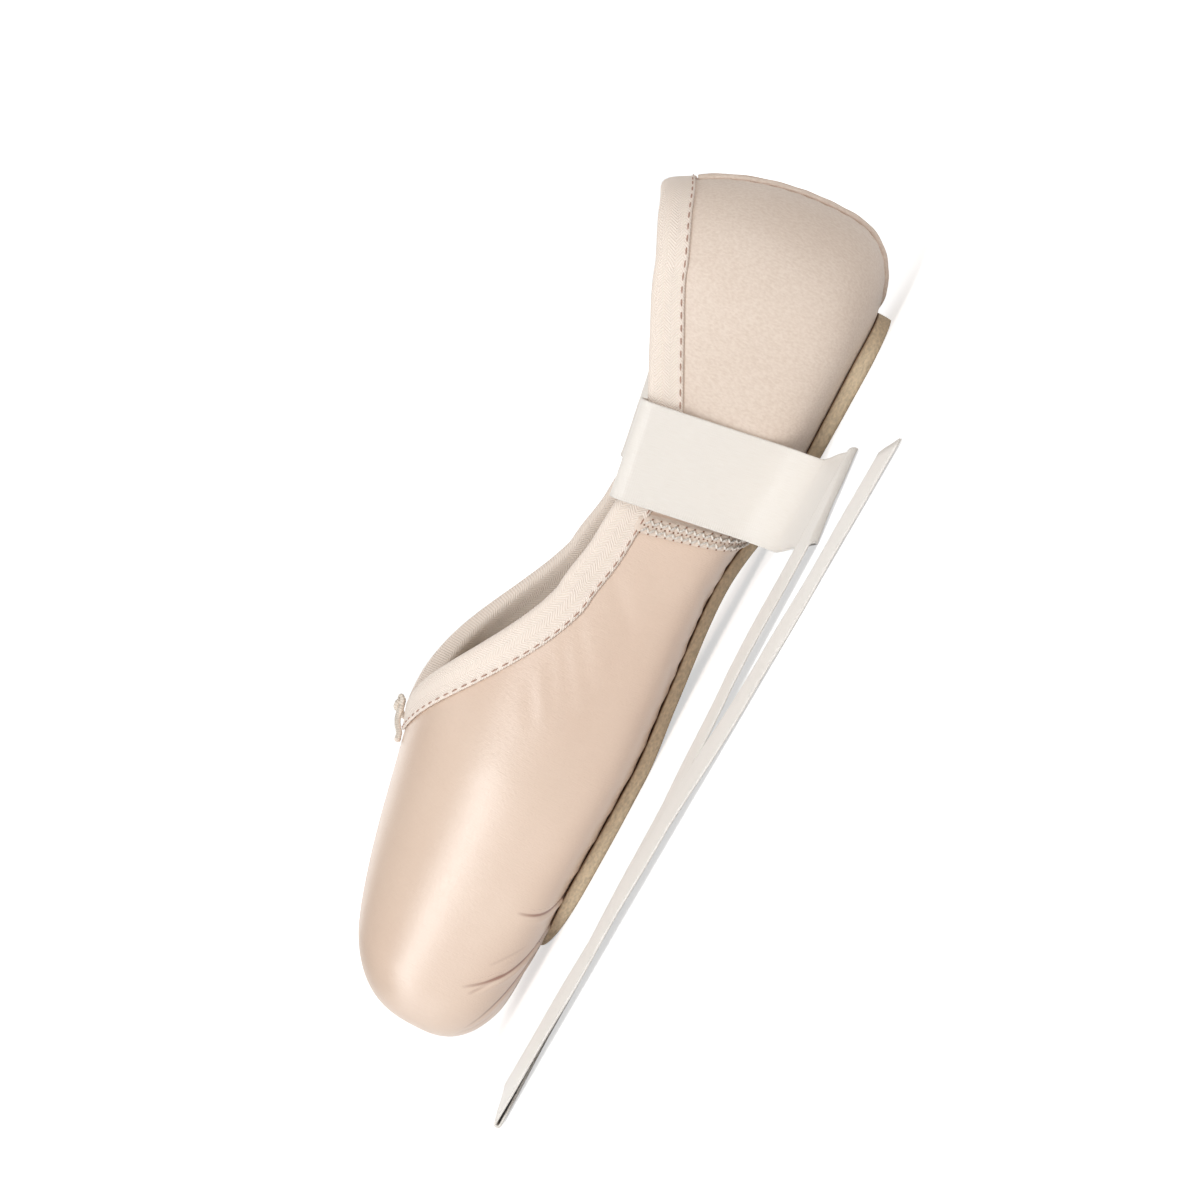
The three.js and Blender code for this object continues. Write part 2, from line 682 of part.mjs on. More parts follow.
function piece(name, geometry, finish) {
  const mesh = new THREE.Mesh(geometry, new THREE.MeshStandardMaterial({ ...finish, metalness: 0 }));
  mesh.name = name;
  return mesh;
}

const sideSeam = sideSeamFaces();

const shoe = new THREE.Group();
shoe.add(
  piece('upper', geometryOf(upperFaces()), FINISHES.satin),
  piece('outsole', geometryOf(outsoleFaces()), FINISHES.suede),
  piece('insole', geometryOf(insoleFaces()), FINISHES.sock),
  piece('binding', geometryOf(bindingFaces()), FINISHES.tape),
  piece('side_seam_left', geometryOf(sideSeam), FINISHES.seam),
  piece('side_seam_right', geometryOf(mirrored(sideSeam)), FINISHES.seam),
  piece('back_seam', geometryOf(backSeamFaces()), FINISHES.seam),
  piece('drawstring_knot', knotGeometry(), FINISHES.cord),
  piece('ribbon_left', geometryOf(ribbonFaces(RIBBON_FLOOR.left)), FINISHES.ribbon),
  piece('ribbon_right', geometryOf(mirrored(ribbonFaces(RIBBON_FLOOR.right))), FINISHES.ribbon),
);

export default shoe;
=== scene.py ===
"""Looks of a pointe shoe: satin, stretch satin, twill tape, suede, thread, cord and ribbon over its solids.

The shoe stands empty on its sole. +X points to the toe, +Y to the shoe's left and +Z up. Shapes are worked
out in millimetres on the last that the solids share, and become metres where a mesh is made.
"""

import math

import bpy
import numpy as np
from mathutils import Matrix, Quaternion, Vector


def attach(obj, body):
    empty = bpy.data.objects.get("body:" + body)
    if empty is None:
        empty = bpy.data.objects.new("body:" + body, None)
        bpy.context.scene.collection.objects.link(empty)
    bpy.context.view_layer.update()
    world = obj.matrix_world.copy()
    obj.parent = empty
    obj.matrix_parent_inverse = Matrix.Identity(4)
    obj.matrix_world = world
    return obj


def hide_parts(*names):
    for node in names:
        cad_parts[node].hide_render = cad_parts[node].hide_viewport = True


bl_info = {
    "name": "Pointe Shoe",
    "version": (1, 0, 0),
    "blender": (4, 5, 0),
    "location": "View3D > Sidebar > Pointe Shoe",
    "description": "Dresses a pointe shoe in satin, twill tape, suede, thread and ribbon",
    "category": "Add Mesh",
}

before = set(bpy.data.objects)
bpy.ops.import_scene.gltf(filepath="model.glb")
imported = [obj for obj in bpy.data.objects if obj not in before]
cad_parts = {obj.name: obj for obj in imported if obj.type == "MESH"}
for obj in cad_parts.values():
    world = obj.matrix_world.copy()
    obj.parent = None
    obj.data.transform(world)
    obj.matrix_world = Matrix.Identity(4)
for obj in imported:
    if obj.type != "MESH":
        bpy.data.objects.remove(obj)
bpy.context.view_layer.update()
MM = 0.001


def columns(names, *rows):
    """A table as named columns."""
    return {name: np.array(column, float) for name, column in zip(names.split(), zip(*rows))}


# The last, in mm: clearance between pieces, rounding of the toe, crown and half span of the platform
GAP = 0.3
TOE_DEPTH = 14.0
TOE_INSET = 9.0
TOE_ROUND = (TOE_DEPTH + TOE_INSET) / 2
PLATFORM_CROWN = 1.0
PLATFORM_SPAN = 20.0
SEAM_CREST = 0.7
LASTING_MARGIN = 6.0

# Places along the last, as shares of its length
HEEL_SIDE, HEEL_RADIUS = 0.13, 0.126
THROAT_START, THROAT = 0.478, 0.696
SOLE_HEEL, SOLE_TOE = 0.078, 0.870
INSOLE_HEEL, INSOLE_TOE = 0.055, 0.92

# Steps to either side, in mm and radians, between which the slopes of the last are taken
REACH_STEP, ANGLE_STEP = 0.05, 0.001

# at: share of the length; width: share of the ball width; crown and widest: shares of the instep height;
# lift: arch and toe shape, mm; powers: roundness of the upper and lower half; wall: thickness, mm
SECTIONS = columns(
    "at width crown widest lift top_power base_power wall",
    (-0.068, 0.760, 1.205, 0.390, 0.0, 2.00, 2.6, 1.6),
    (0.030, 0.742, 1.205, 0.388, 0.0, 2.00, 2.7, 1.6),
    (0.130, 0.709, 1.190, 0.375, 0.0, 2.10, 3.0, 1.6),
    (0.261, 0.709, 1.170, 0.360, 0.0, 2.20, 3.6, 1.6),
    (0.413, 0.747, 1.136, 0.405, 4.0, 2.20, 4.0, 1.7),
    (0.543, 0.861, 1.085, 0.375, 1.7, 2.20, 4.2, 2.0),
    (0.630, 0.957, 1.042, 0.350, 0.0, 2.20, 4.4, 2.5),
    (0.696, 1.000, 1.000, 0.350, 0.0, 2.25, 4.4, 2.8),
    (0.770, 0.962, 0.940, 0.345, 0.0, 2.30, 4.2, 3.0),
    (0.848, 0.880, 0.872, 0.340, -0.7, 2.40, 3.6, 3.0),
    (0.913, 0.805, 0.800, 0.345, -0.9, 2.50, 3.2, 3.0),
    (0.961, 0.756, 0.730, 0.355, -0.3, 2.60, 2.9, 3.0),
    (0.996, 0.720, 0.683, 0.358, 0.2, 2.60, 2.8, 3.0),
)

# Collar line as the angle, in degrees from the crown, at which the wall ends
COLLAR = columns(
    "at angle",
    (-0.068, 20),
    (0.030, 22.5),
    (0.130, 29.5),
    (0.196, 39),
    (0.261, 50),
    (0.313, 60),
    (0.413, 62),
    (0.478, 59),
    (0.490, 59),
)
THROAT_ANGLE = 59.0
THROAT_BEND = 1.25
THROAT_POINT = 0.7

# Half width of the outsole as a share of the ball width, and the lengths of its rounded ends in mm
SOLE_OUTLINE = columns(
    "at half",
    (0.078, 0.209),
    (0.196, 0.209),
    (0.304, 0.171),
    (0.413, 0.158),
    (0.522, 0.215),
    (0.630, 0.316),
    (0.709, 0.348),
    (0.770, 0.335),
    (0.870, 0.266),
)
SOLE_HEEL_CAP = 13.0
SOLE_TOE_CAP = 26.0
SOLE_TIP_RISE = 1.2
INSOLE_CAP = 18
INSOLE_SHARE = 0.72

# Edges of the soles from top to bottom: share of the height and inset in mm
OUTSOLE_EDGE = (
    (0, 0.35), (0.06, 0.1), (0.16, 0.0), (0.40, 0.0), (0.62, 0.05), (0.80, 0.25), (0.93, 0.6), (1.0, 1.1)
)
INSOLE_EDGE = ((0, 0.3), (0.2, 0.08), (0.5, 0.0), (0.8, 0.1), (1.0, 0.3))
PLATE_ROWS, PLATE_ACROSS = 151, 41

# Pleats under the toe. start: place on the sole's edge, x in mm; end_x, end_z: where the fold dies out on
# the side; bow: how far its middle swings toward the toe; depth and lip: trough and raised edge; width: of
# the trough
# Each pleat is also drawn with a fine line of painted shade, with a painted highlight on its lip.
PLEATS = columns(
    "start end_x end_z bow depth lip width",
    (65.0, 71.6, 12.8, 1.3, 0.55, 0.50, 0.7),
    (74.6, 96.4, 15.8, 2.5, 0.65, 0.60, 0.7),
    (80.6, 107.8, 10.0, -4.0, 0.65, 0.60, 0.7),
    (84.0, 112.8, 6.6, -5.0, 0.50, 0.45, 0.7),
)

# Pleats between the sole's tip and the platform's lower edge, as distances from the middle line
TIP_PLEATS = columns(
    "start_y end_y depth width",
    (1.5, 2.5, 0.45, 0.8),
    (5.0, 8.0, 0.5, 0.75),
    (9.0, 14.0, 0.45, 0.8),
)

# Soft creases of the satin, each from one place on the side to another, x and z in mm
# Creases narrower than 1 mm are also drawn with a line of painted shade, as dark as their depth.
CREASES = columns(
    "from_x from_z to_x to_z depth width",
    (88.4, 7.8, 97.6, 13.6, 0.30, 0.6),
    (79.5, 6.5, 88.0, 12.5, 0.14, 0.9),
    (101.0, 4.6, 110.5, 11.0, 0.16, 0.8),
    (-1.0, 35.0, 16.0, 22.0, 0.34, 1.6),
    (4.5, 35.5, 22.0, 24.0, 0.42, 1.5),
    (10.0, 36.5, 25.0, 27.0, 0.34, 1.4),
    (17.0, 38.5, 30.0, 30.5, 0.28, 1.6),
    (-14.0, 32.5, -2.0, 20.0, 0.26, 2.0),
    (-22.0, 12.0, -8.0, 6.5, 0.32, 1.6),
    (-4.0, 10.5, 10.0, 5.5, 0.30, 1.5),
)

# Gathers where the satin is drawn under the sole at the waist: place of each ridge along the sole, its height
# and how far it reaches up
GATHERS = columns(
    "x height reach",
    (-50.0, 0.22, 4.0),
    (-44.5, 0.30, 5.0),
    (-38.0, 0.26, 4.5),
    (-33.0, 0.36, 6.0),
    (-28.5, 0.24, 4.5),
    (-23.0, 0.40, 7.0),
    (-18.5, 0.28, 5.0),
    (-13.0, 0.36, 6.5),
    (-8.0, 0.30, 5.0),
    (-2.0, 0.38, 6.0),
    (3.5, 0.26, 5.0),
    (9.0, 0.30, 5.5),
    (15.0, 0.22, 4.5),
    (22.0, 0.24, 4.5),
    (30.0, 0.20, 4.0),
    (39.0, 0.18, 4.0),
    (48.0, 0.20, 4.0),
    (57.0, 0.18, 4.0),
)
GATHER_WIDTH = 1.5

# How far the folds of the other side are moved along it, in mm
OTHER_SIDE_SHIFT = 1.4

# Where folds start and end, in mm: pleats keep off the sole's toe and start outside its edge, and gathers
# lean toward the toe
PLEAT_MARGIN, PLEAT_OUT, TIP_PLEAT_MARGIN = 0.4, 0.2, 1.0
GATHER_LEAN, GATHER_POINTS = 2.5, 6

# Distance, in mm, past which the painted shade of a fold line darkens nothing, and over which it fades there
FAR = 2.0
FAR_FADE = 0.6

# Raised lip beside a fold, as multiples of the trough's width: its place and its own width
LIP_PLACE, LIP_WIDTH = 2.3, 1.9

# Steps of the grids along and down the wall, as (start, end, steps) of its shares
VAMP_ALONG = ((0, 0.09, 16), (0.09, 0.54, 46), (0.54, 0.91, 150), (0.91, 1, 18))
VAMP_DOWN = ((0, 0.45, 38), (0.45, 1, 120))
QUARTER_ALONG = ((0, 0.06, 12), (0.06, 0.86, 56), (0.86, 1, 34))
QUARTER_DOWN = ((0, 1, 78),)

# The lining has one point for this many of the cloth over it, each way
LINING_STEP = 2

# Side seam: shares of the length at its top and foot; in mm, half its width, the lap under it, its rise over
# the quarter, the slope beside it, and the height and pitch of its ripple
SIDE_SEAM = (0.396, 0.339)
SEAM_HALF = 2.2
SEAM_LAP = 3.0
SEAM_RISE = 0.75
SEAM_SLOPE = 1.4
SEAM_RIPPLE, SEAM_RIPPLE_PITCH = 0.10, 2.3

# Quarters, in mm: how far they stand off the wall, the groove beside the heel seam and the puckers along it
QUARTER_LEVEL = 0.08
GROOVE_DEPTH, GROOVE_WIDTH = 0.35, 1.6
PUCKER_DEPTH, PUCKER_WIDTH, PUCKER_PITCH = 0.10, 5.0, 4.6

# Lines of shadow on the quarters: place beside the heel seam or the side seam in mm, and strength
HEEL_LINE = (1.75, 0.9)
SIDE_LINE = (2 * SEAM_HALF + 1.25, 0.4)

# Stitches of the side seams, in mm: where they start below the collar and end above the feather edge, the
# places of the two rows from the seam's edge, the swing of the zigzag, height over the seam and radius.
# Needle holes: share of the swing by which they lie inside the corner, height, radius and crown
STITCH_TOP, STITCH_FOOT = 8.0, 1.2
STITCH_ROWS = (1.25, 3.35)
STITCH_SWING = 0.62
STITCH_LEVEL, STITCH_RADIUS = 0.24, 0.31
HOLE_INSIDE, HOLE_LEVEL, HOLE_RADIUS, HOLE_CROWN = 0.55, 0.16, 0.24, 0.10
HOLE_SIDES = 6
SEAM_POINTS = 400

# Heel seam, in mm: start below the collar, half width, height, groove along its middle, ripple and how deep
# its underside lies in the wall; rows down it and points across; and the length that its thread runs
HEEL_SEAM_TOP = 8.2
HEEL_SEAM_HALF = 1.55
HEEL_SEAM_RISE, HEEL_SEAM_GROOVE, HEEL_SEAM_RIPPLE = 0.72, 0.32, 0.08
HEEL_SEAM_SINK = 0.3
HEEL_SEAM_ROWS, HEEL_SEAM_ACROSS = 120, 13
HEEL_SEAM_LENGTH = 60

# Folded tape of the binding. down: distance below the collar edge; off: outside the wall's outer face, or,
# where inside is 1, inside its inner face
BINDING = columns(
    "down off inside",
    (7.45, 0.18, 0),
    (7.55, 0.55, 0),
    (7.0, 0.80, 0),
    (6.2, 0.72, 0),
    (5.2, 0.86, 0),
    (4.0, 1.08, 0),
    (2.6, 1.36, 0),
    (1.2, 1.52, 0),
    (0.0, 1.42, 0),
    (-0.8, 1.05, 0),
    (-1.35, 0.35, 0),
    (-1.35, 0.35, 1),
    (-0.8, 1.00, 1),
    (0.2, 1.30, 1),
    (1.6, 1.30, 1),
    (3.0, 1.15, 1),
    (4.4, 1.05, 1),
    (5.6, 1.00, 1),
    (6.4, 0.95, 1),
    (6.55, 0.5, 1),
    (6.3, 0.2, 1),
    (4.0, 0.15, 1),
    (2.0, 0.12, 1),
    (0.2, 0.10, 1),
    (0.2, 0.05, 0),
    (2.0, 0.06, 0),
    (4.0, 0.10, 0),
    (6.0, 0.14, 0),
)
BINDING_STEPS = 230
COLLAR_POINTS = 1500

# A stitch from end to end: its radius and its rise, as shares of the radius
STITCH_FORM = columns(
    "radius lift",
    (0.35, -0.5),
    (0.85, 0.25),
    (1.0, 0.6),
    (1.0, 0.6),
    (0.85, 0.25),
    (0.35, -0.5),
)
STITCH_SIDES = 6

# Stitches of the binding, in mm: distance below the collar edge, height over the wall and radius; and the
# share of their spacing that shows
TAPE_STITCH_DOWN, TAPE_STITCH_LEVEL, TAPE_STITCH_RADIUS = 6.9, 0.78, 0.19
TAPE_STITCH_SHARE = 0.66
TAPE_STITCH_STEPS = 900

# Drawstring, in mm: size, rise and points of its knot; length and splay in degrees of each end; the wave of
# an end, and where it starts to sink to the vamp and over what length; radii at the end and at its seal
KNOT_SIZE, KNOT_RISE = 0.62, 1.2
KNOT_POINTS, KNOT_SIDES = 90, 10
CORD_ENDS = ((11.0, 24.0), (8.0, -42.0))
CORD_POINTS, CORD_SIDES = 16, 12
CORD_WAVE, CORD_OVER_VAMP = 0.35, 0.35
CORD_SINK_START, CORD_SINK_LENGTH = 4.5, 4.0
CORD_END_SHARES = (1.0, 1.08, 0.7)
SEAL_PLACES, SEAL_SHARES = (-0.6, 0.1, 0.35), (1.1, 0.95, 0.4)

# Ribbons: slant, lean and turn of the sewn end in degrees, and its place; slant of the cut end; steps across,
# longest step along, and height of the waves and curl in mm. Each bend has its place along the strip, turn in
# degrees, radius and slant
RIBBON_SLANT, RIBBON_LEAN, RIBBON_TURN = -10.0, 12.0, 4.3
RIBBON_START = (-46.0, 24.75, 22.4)
RIBBON_CUT_SLANT = 30.0
RIBBON_ACROSS = ((-1, -0.86, 4), (-0.86, 0.86, 12), (0.86, 1, 4))
RIBBON_STEP = 2.5
RIBBON_WAVE, RIBBON_CURL = 0.16, 0.25
RIBBON_HANG = (
    (6, 12, 20, 10),
    (18.4, 180, 3.3, 0),
    (59, -90, 10, -10),
)
RIBBON_FLOOR = {
    "left": (
        (152, -180, 0.7, 41),
        (200, -2.3, 60, 0),
        (234, 2.3, 60, 0),
        (312, 180, 0.7, 9),
        (400, 2.3, 60, 0),
        (434, -2.3, 60, 0),
    ),
    "right": (
        (128, -180, 0.7, 42),
        (178, -2.3, 60, 0),
        (212, 2.3, 60, 0),
        (300, 180, 0.7, 13),
        (378, 2.3, 60, 0),
        (412, -2.3, 60, 0),
    ),
}


# Stage, in metres: what camera and lights face; each light's name, place, aim, extent, share of the key's
# power, tint and tilt in degrees; and the floor's profile, which curves up far off
TARGET = (0.0, 0.0, 0.03)
COOL, WARM = (0.94, 0.98, 1.0), (1.0, 0.97, 0.94)
LIGHTS = (
    ("key", (0.65, 1.15, 0.72), TARGET, (1.5, 0.42), 1, COOL, 20),
    ("top", (-0.15, 0.1, 1.6), TARGET, (1.6, 1.6), 0.48, WARM, 0),
    ("back", (0.2, -1.4, 0.8), TARGET, (1.2, 0.8), 0.32, WARM, 0),
    ("fill", (-1.0, 0.95, 0.5), TARGET, (1.0, 0.7), 0.36, WARM, 0),
    ("toe", (1.2, 0.5, 0.18), (0.09, 0.0, 0.02), (0.9, 0.35), 0.14, COOL, 0),
)
FLOOR_PROFILE = columns(
    "radius rise",
    (0.0, 0.0),
    (0.6, 0.0),
    (1.2, 0.0),
    (1.8, 0.0),
    (2.2, 0.05),
    (2.5, 0.18),
    (2.7, 0.45),
    (2.8, 0.9),
)


def size(name, default, text):
    """A length that a user may change."""
    return bpy.props.FloatProperty(name=name, description=text, default=default, unit="LENGTH", precision=4)


def colour(name, default, text):
    """A linear colour that a user may change."""
    return bpy.props.FloatVectorProperty(
        name=name, description=text, default=default, subtype="COLOR", size=3, min=0.0, max=1.0
    )


def angle_of(name, degrees, text):
    """An angle that a user may change."""
    default = math.radians(degrees)
    return bpy.props.FloatProperty(name=name, description=text, default=default, subtype="ANGLE")


def amount(name, default, text, **more):
    """A strength or number that a user may change."""
    return bpy.props.FloatProperty(name=name, description=text, default=default, min=0.0, **more)


class PointeShoeSizes(bpy.types.PropertyGroup):
    """Sizes of the shoe, which follow those of its solids."""

    length: size("Length", 0.230, "From the back of the heel to the platform")
    ball_width: size("Ball width", 0.079, "Widest part of the forefoot")
    instep_height: size("Instep height", 0.059, "Height of the last at the throat")
    sole_thickness: size("Sole thickness", 0.003, "Thickness of the leather outsole")
    insole_thickness: size("Insole thickness", 0.0015, "Thickness of the sock insole")
    ribbon_width: size("Ribbon width", 0.025, "Width of each ankle ribbon")
    ribbon_length: size("Ribbon length", 0.500, "Cut length of each ankle ribbon")
    ribbon_thickness: size("Ribbon thickness", 0.0004, "Thickness of the ribbon's weave")
    cord_radius: size("Cord radius", 0.0008, "Radius of the drawstring")
    tape_stitch: size("Tape stitch", 0.0031, "Spacing of the stitches along the binding")
    seam_stitch: size("Seam stitch", 0.0021, "Spacing of the zigzag stitches of the side seams")


class PointeShoeColours(bpy.types.PropertyGroup):
    """Colours of the cloths, leather and threads."""

    satin: colour("Satin", (0.77, 0.585, 0.46), "Satin of the vamp and wings")
    satin_shade: colour("Satin shade", (0.715, 0.52, 0.40), "Cloudy darker tone of the satin")
    # Painted shade: the fine dark line drawn in each pleat and narrow crease, and the soft band beside it.
    fold: colour("Fold", (0.29, 0.11, 0.06), "Fine line in the depth of a pleat")
    # Painted highlight: pale colour blended onto the raised lip beside each fold line.
    fold_lip_highlight: colour("Fold lip", (0.92, 0.77, 0.65), "Raised edge beside a fold")
    seam_line: colour("Seam line", (0.46, 0.22, 0.10), "Line of shadow along a seam of the quarters")
    quarter: colour("Stretch satin", (0.85, 0.72, 0.62), "Stretch satin of the quarters")
    quarter_shade: colour("Stretch satin shade", (0.71, 0.565, 0.465), "Mottled darker tone of the quarters")
    tape: colour("Tape", (0.97, 0.855, 0.765), "Twill tape of the binding")
    ribbon: colour("Ribbon", (0.89, 0.84, 0.785), "Ankle ribbons")
    tape_thread: colour("Tape thread", (0.60, 0.36, 0.28), "Thread that holds the binding")
    seam_thread: colour("Seam thread", (1.0, 0.92, 0.84), "Zigzag thread of the side seams")
    # Painted shade: the dark inside of each needle hole, drawn as a small disc.
    needle_hole_shade: colour("Needle hole", (0.30, 0.15, 0.09), "Pricks of the needle")
    suede: colour("Suede", (0.50, 0.38, 0.25), "Underside of the outsole")
    edge: colour("Sole edge", (0.60, 0.48, 0.335), "Cut edge of the outsole")
    lining: colour("Lining", (0.84, 0.76, 0.66), "Cotton lining and sock")
    cord: colour("Cord", (0.89, 0.79, 0.69), "Drawstring")


class PointeShoeStage(bpy.types.PropertyGroup):
    """Place of the camera and strength of the light."""

    azimuth: angle_of("Azimuth", 192, "Camera's turn round the shoe")
    elevation: angle_of("Elevation", 3, "Camera's height over the floor")
    roll: angle_of("Roll", 62, "Turn of the picture, toe down")
    distance: size("Distance", 1.25, "From the shoe to the camera")
    lens: amount("Lens", 150.0, "Focal length", subtype="DISTANCE_CAMERA")
    sky: amount("Sky", 0.26, "Strength of the even light")
    key: amount("Key", 12.8, "Power of the long soft light", unit="POWER")


class PointeShoeSettings(bpy.types.PropertyGroup):
    """All that a user may change on the shoe."""

    sizes: bpy.props.PointerProperty(type=PointeShoeSizes)
    colours: bpy.props.PointerProperty(type=PointeShoeColours)
    stage: bpy.props.PointerProperty(type=PointeShoeStage)


# Curves and surfaces of the last


def smooth(rows, column, at):
    """Value of a column at a share of the length, on a cubic that never overshoots the rows."""
    x, y = rows["at"], rows[column]
    step = np.diff(x)
    rate = np.diff(y) / step
    slope = np.zeros_like(y)
    slope[-1] = rate[-1]
    same = rate[:-1] * rate[1:] > 0
    total = np.where(same, rate[:-1] + rate[1:], 1.0)
    slope[1:-1] = np.where(same, 2 * rate[:-1] * rate[1:] / total, 0.0)
    at = np.clip(at, x[0], x[-1])
    i = np.clip(np.searchsorted(x, at, side="right") - 1, 0, len(x) - 2)
    t = (at - x[i]) / step[i]
    rise = y[i + 1] - y[i]
    start, end = slope[i] * step[i], slope[i + 1] * step[i]
    return y[i] + start * t + (3 * rise - 2 * start - end) * t**2 + (start + end - 2 * rise) * t**3


def unit(vectors):
    """Vectors of length 1."""
    return vectors / np.maximum(np.linalg.norm(vectors, axis=-1, keepdims=True), 1e-12)


def dot(a, b):
    """Dot products of two arrays of vectors."""
    return np.sum(a * b, axis=-1)


class Last:
    """The form that every piece follows. Reach is measured along the side from the back of the heel, and
    angle round the section from the crown down."""

    def __init__(self, sizes):
        self.length = sizes.length / MM
        self.ball = sizes.ball_width / MM
        self.instep = sizes.instep_height / MM
        self.feather = sizes.sole_thickness / MM + GAP
        self.heel_side = HEEL_SIDE * self.length
        self.heel_radius = HEEL_RADIUS * self.length
        self.heel_back = self.heel_side - self.heel_radius * math.pi / 2
        self.toe_edge = self.length - TOE_DEPTH - PLATFORM_CROWN
        self.platform_edge = self.toe_edge + TOE_ROUND * math.pi / 2
        self.platform_centre = self.platform_edge + PLATFORM_SPAN
        self.origin = (self.length - GAP - SEAM_CREST) / 2
        self.throat_start = THROAT_START * self.length
        self.throat = THROAT * self.length
        self.sole_heel = SOLE_HEEL * self.length
        self.sole_toe = SOLE_TOE * self.length
        self.opening_toe = self.sole_toe - LASTING_MARGIN

    def section(self, reach):
        """Sizes of the section at each reach."""
        reach = np.asarray(reach, float)
        roll = np.clip((reach - self.toe_edge) / TOE_ROUND, 0, math.pi / 2)
        inset = TOE_INSET * (1 - np.cos(roll))
        past = TOE_DEPTH * np.sin(roll)
        at = (np.minimum(self.heel_back + np.abs(reach - self.heel_back), self.toe_edge) + past) / self.length
        shrink = 1 - np.clip((reach - self.platform_edge) / PLATFORM_SPAN, 0, 1)
        widest = smooth(SECTIONS, "widest", at) * self.instep
        crown = smooth(SECTIONS, "crown", at) * self.instep - inset
        base = self.feather + smooth(SECTIONS, "lift", at) + inset
        return {
            "half": (smooth(SECTIONS, "width", at) * self.ball / 2 - inset) * shrink,
            "up": (crown - widest) * shrink,
            "down": (widest - base) * shrink,
            "widest": widest,
            "top_power": smooth(SECTIONS, "top_power", at),
            "base_power": smooth(SECTIONS, "base_power", at),
            "wall": smooth(SECTIONS, "wall", at),
            "heading": math.pi / 2 + np.maximum(self.heel_side - reach, 0) / self.heel_radius,
            "x": np.clip(reach, self.heel_side, self.toe_edge)
            + past
            + PLATFORM_CROWN * (1 - shrink**2)
            - self.origin,
        }

    def skin(self, reach, angle):
        """Points of the surface."""
        reach, angle = np.broadcast_arrays(np.asarray(reach, float), np.asarray(angle, float))
        cut = self.section(reach)
        sine, cosine = np.sin(angle), np.cos(angle)
        rise = np.maximum(np.where(cosine > 0, cut["up"], cut["down"]), 1e-9)
        power = np.where(cosine > 0, cut["top_power"], cut["base_power"])
        half = np.maximum(cut["half"], 1e-9)
        radius = (np.abs(sine / half) ** power + np.abs(cosine / rise) ** power) ** (-1 / power)
        out = radius * sine
        x = cut["x"] + out * np.cos(cut["heading"])
        return np.stack([x, out * np.sin(cut["heading"]), cut["widest"] + radius * cosine], -1)

    def tangents(self, reach, angle):
        """Rates of the surface along the reach and round the section."""
        ahead, behind = self.skin(reach + REACH_STEP, angle), self.skin(reach - REACH_STEP, angle)
        below, above = self.skin(reach, angle + ANGLE_STEP), self.skin(reach, angle - ANGLE_STEP)
        return (ahead - behind) / (2 * REACH_STEP), (below - above) / (2 * ANGLE_STEP)

    def normal(self, reach, angle):
        """Directions out of the surface."""
        along, around = self.tangents(reach, angle)
        out = unit(np.cross(along, around))
        flat = np.broadcast_to(np.asarray(reach, float) >= self.platform_edge, out.shape[:-1])
        out[flat] = (1.0, 0.0, 0.0)
        return out

    def offset(self, reach, angle, distance):
        """Points at a distance outside the surface."""
        distance = np.asarray(distance, float)[..., None]
        return self.skin(reach, angle) + self.normal(reach, angle) * distance

    def walk(self, reach, angle, heading, distance):
        """Reach and angle after walking over the surface."""
        for _ in range(4):
            along, around = self.tangents(reach, angle)
            u = dot(heading, along) * distance / 4
            v = dot(heading, around) * distance / 4
            mixed = dot(along, around)
            area = dot(along, along) * dot(around, around) - mixed**2
            reach = reach + (u * dot(around, around) - v * mixed) / area
            angle = angle + (v * dot(along, along) - u * mixed) / area
        return reach, angle

    def collar(self, reach):
        """Angle of the collar's edge."""
        reach = np.asarray(reach, float)
        share = np.clip((reach - self.throat_start) / (self.throat - self.throat_start), 0, 1)
        front = math.radians(THROAT_ANGLE) * (1 - share**THROAT_BEND) ** THROAT_POINT
        back = np.radians(smooth(COLLAR, "angle", reach / self.length))
        return np.where(reach < self.throat_start, back, front)

    def sole_half(self, distance, margin=0.0):
        """Half width of the outsole, drawn in by a margin all round."""
        heel = np.clip((distance - self.sole_heel - margin) / SOLE_HEEL_CAP, 0, 1)
        toe = np.clip((self.sole_toe - margin - distance) / SOLE_TOE_CAP, 0, 1)
        half = smooth(SOLE_OUTLINE, "half", distance / self.length) * self.ball - margin
        return half * np.sqrt(1 - (1 - heel) ** 2) * np.sqrt(1 - (1 - toe) ** 2)

    def under_angle(self, reach, half):
        """Angle at which a section passes a half width underneath."""
        return math.pi - np.arctan2(half, self.section(reach)["down"])

    def opening(self, reach):
        """Angle of the edge of the opening that the soles close."""
        turn = np.maximum(self.heel_side - reach, 0) / self.heel_radius
        side = self.sole_half(self.heel_side, LASTING_MARGIN)
        back = self.heel_side - self.sole_heel - LASTING_MARGIN
        half = 1 / np.hypot(np.cos(turn) / side, np.sin(turn) / back)
        half = np.where(reach >= self.heel_side, self.sole_half(reach, LASTING_MARGIN), half)
        return self.under_angle(reach, half)

    def underside(self, distance, y):
        """Height of the upper's underside over a place in plan."""
        behind = self.heel_side - distance
        turned = np.where(behind > 0, self.heel_radius * np.arctan2(behind, np.abs(y)), 0)
        cut = self.section(np.where(behind > 0, self.heel_side - turned, distance))
        share = np.where(behind > 0, np.hypot(behind, y), np.abs(y)) / cut["half"]
        share = np.clip(share, 0, 1) ** cut["base_power"]
        return cut["widest"] - cut["down"] * (1 - share) ** (1 / cut["base_power"])

    def reach_at(self, x):
        """Reach of a place ahead of the heel curve."""
        ahead = np.asarray(x, float) + self.origin
        past = np.clip((ahead - self.toe_edge) / TOE_DEPTH, 0, 1)
        return np.minimum(ahead, self.toe_edge) + TOE_ROUND * np.arcsin(past)

    def angle_at(self, reach, z):
        """Angle of a height on the side of the section."""
        cut = self.section(reach)
        angles = np.linspace(0, math.pi, 400)
        heights = self.skin(np.full_like(angles, reach), angles)[:, 2]
        z = np.clip(z, heights[-1] + 0.01, float(cut["widest"] + cut["up"]))
        return float(np.interp(-z, -heights, angles))

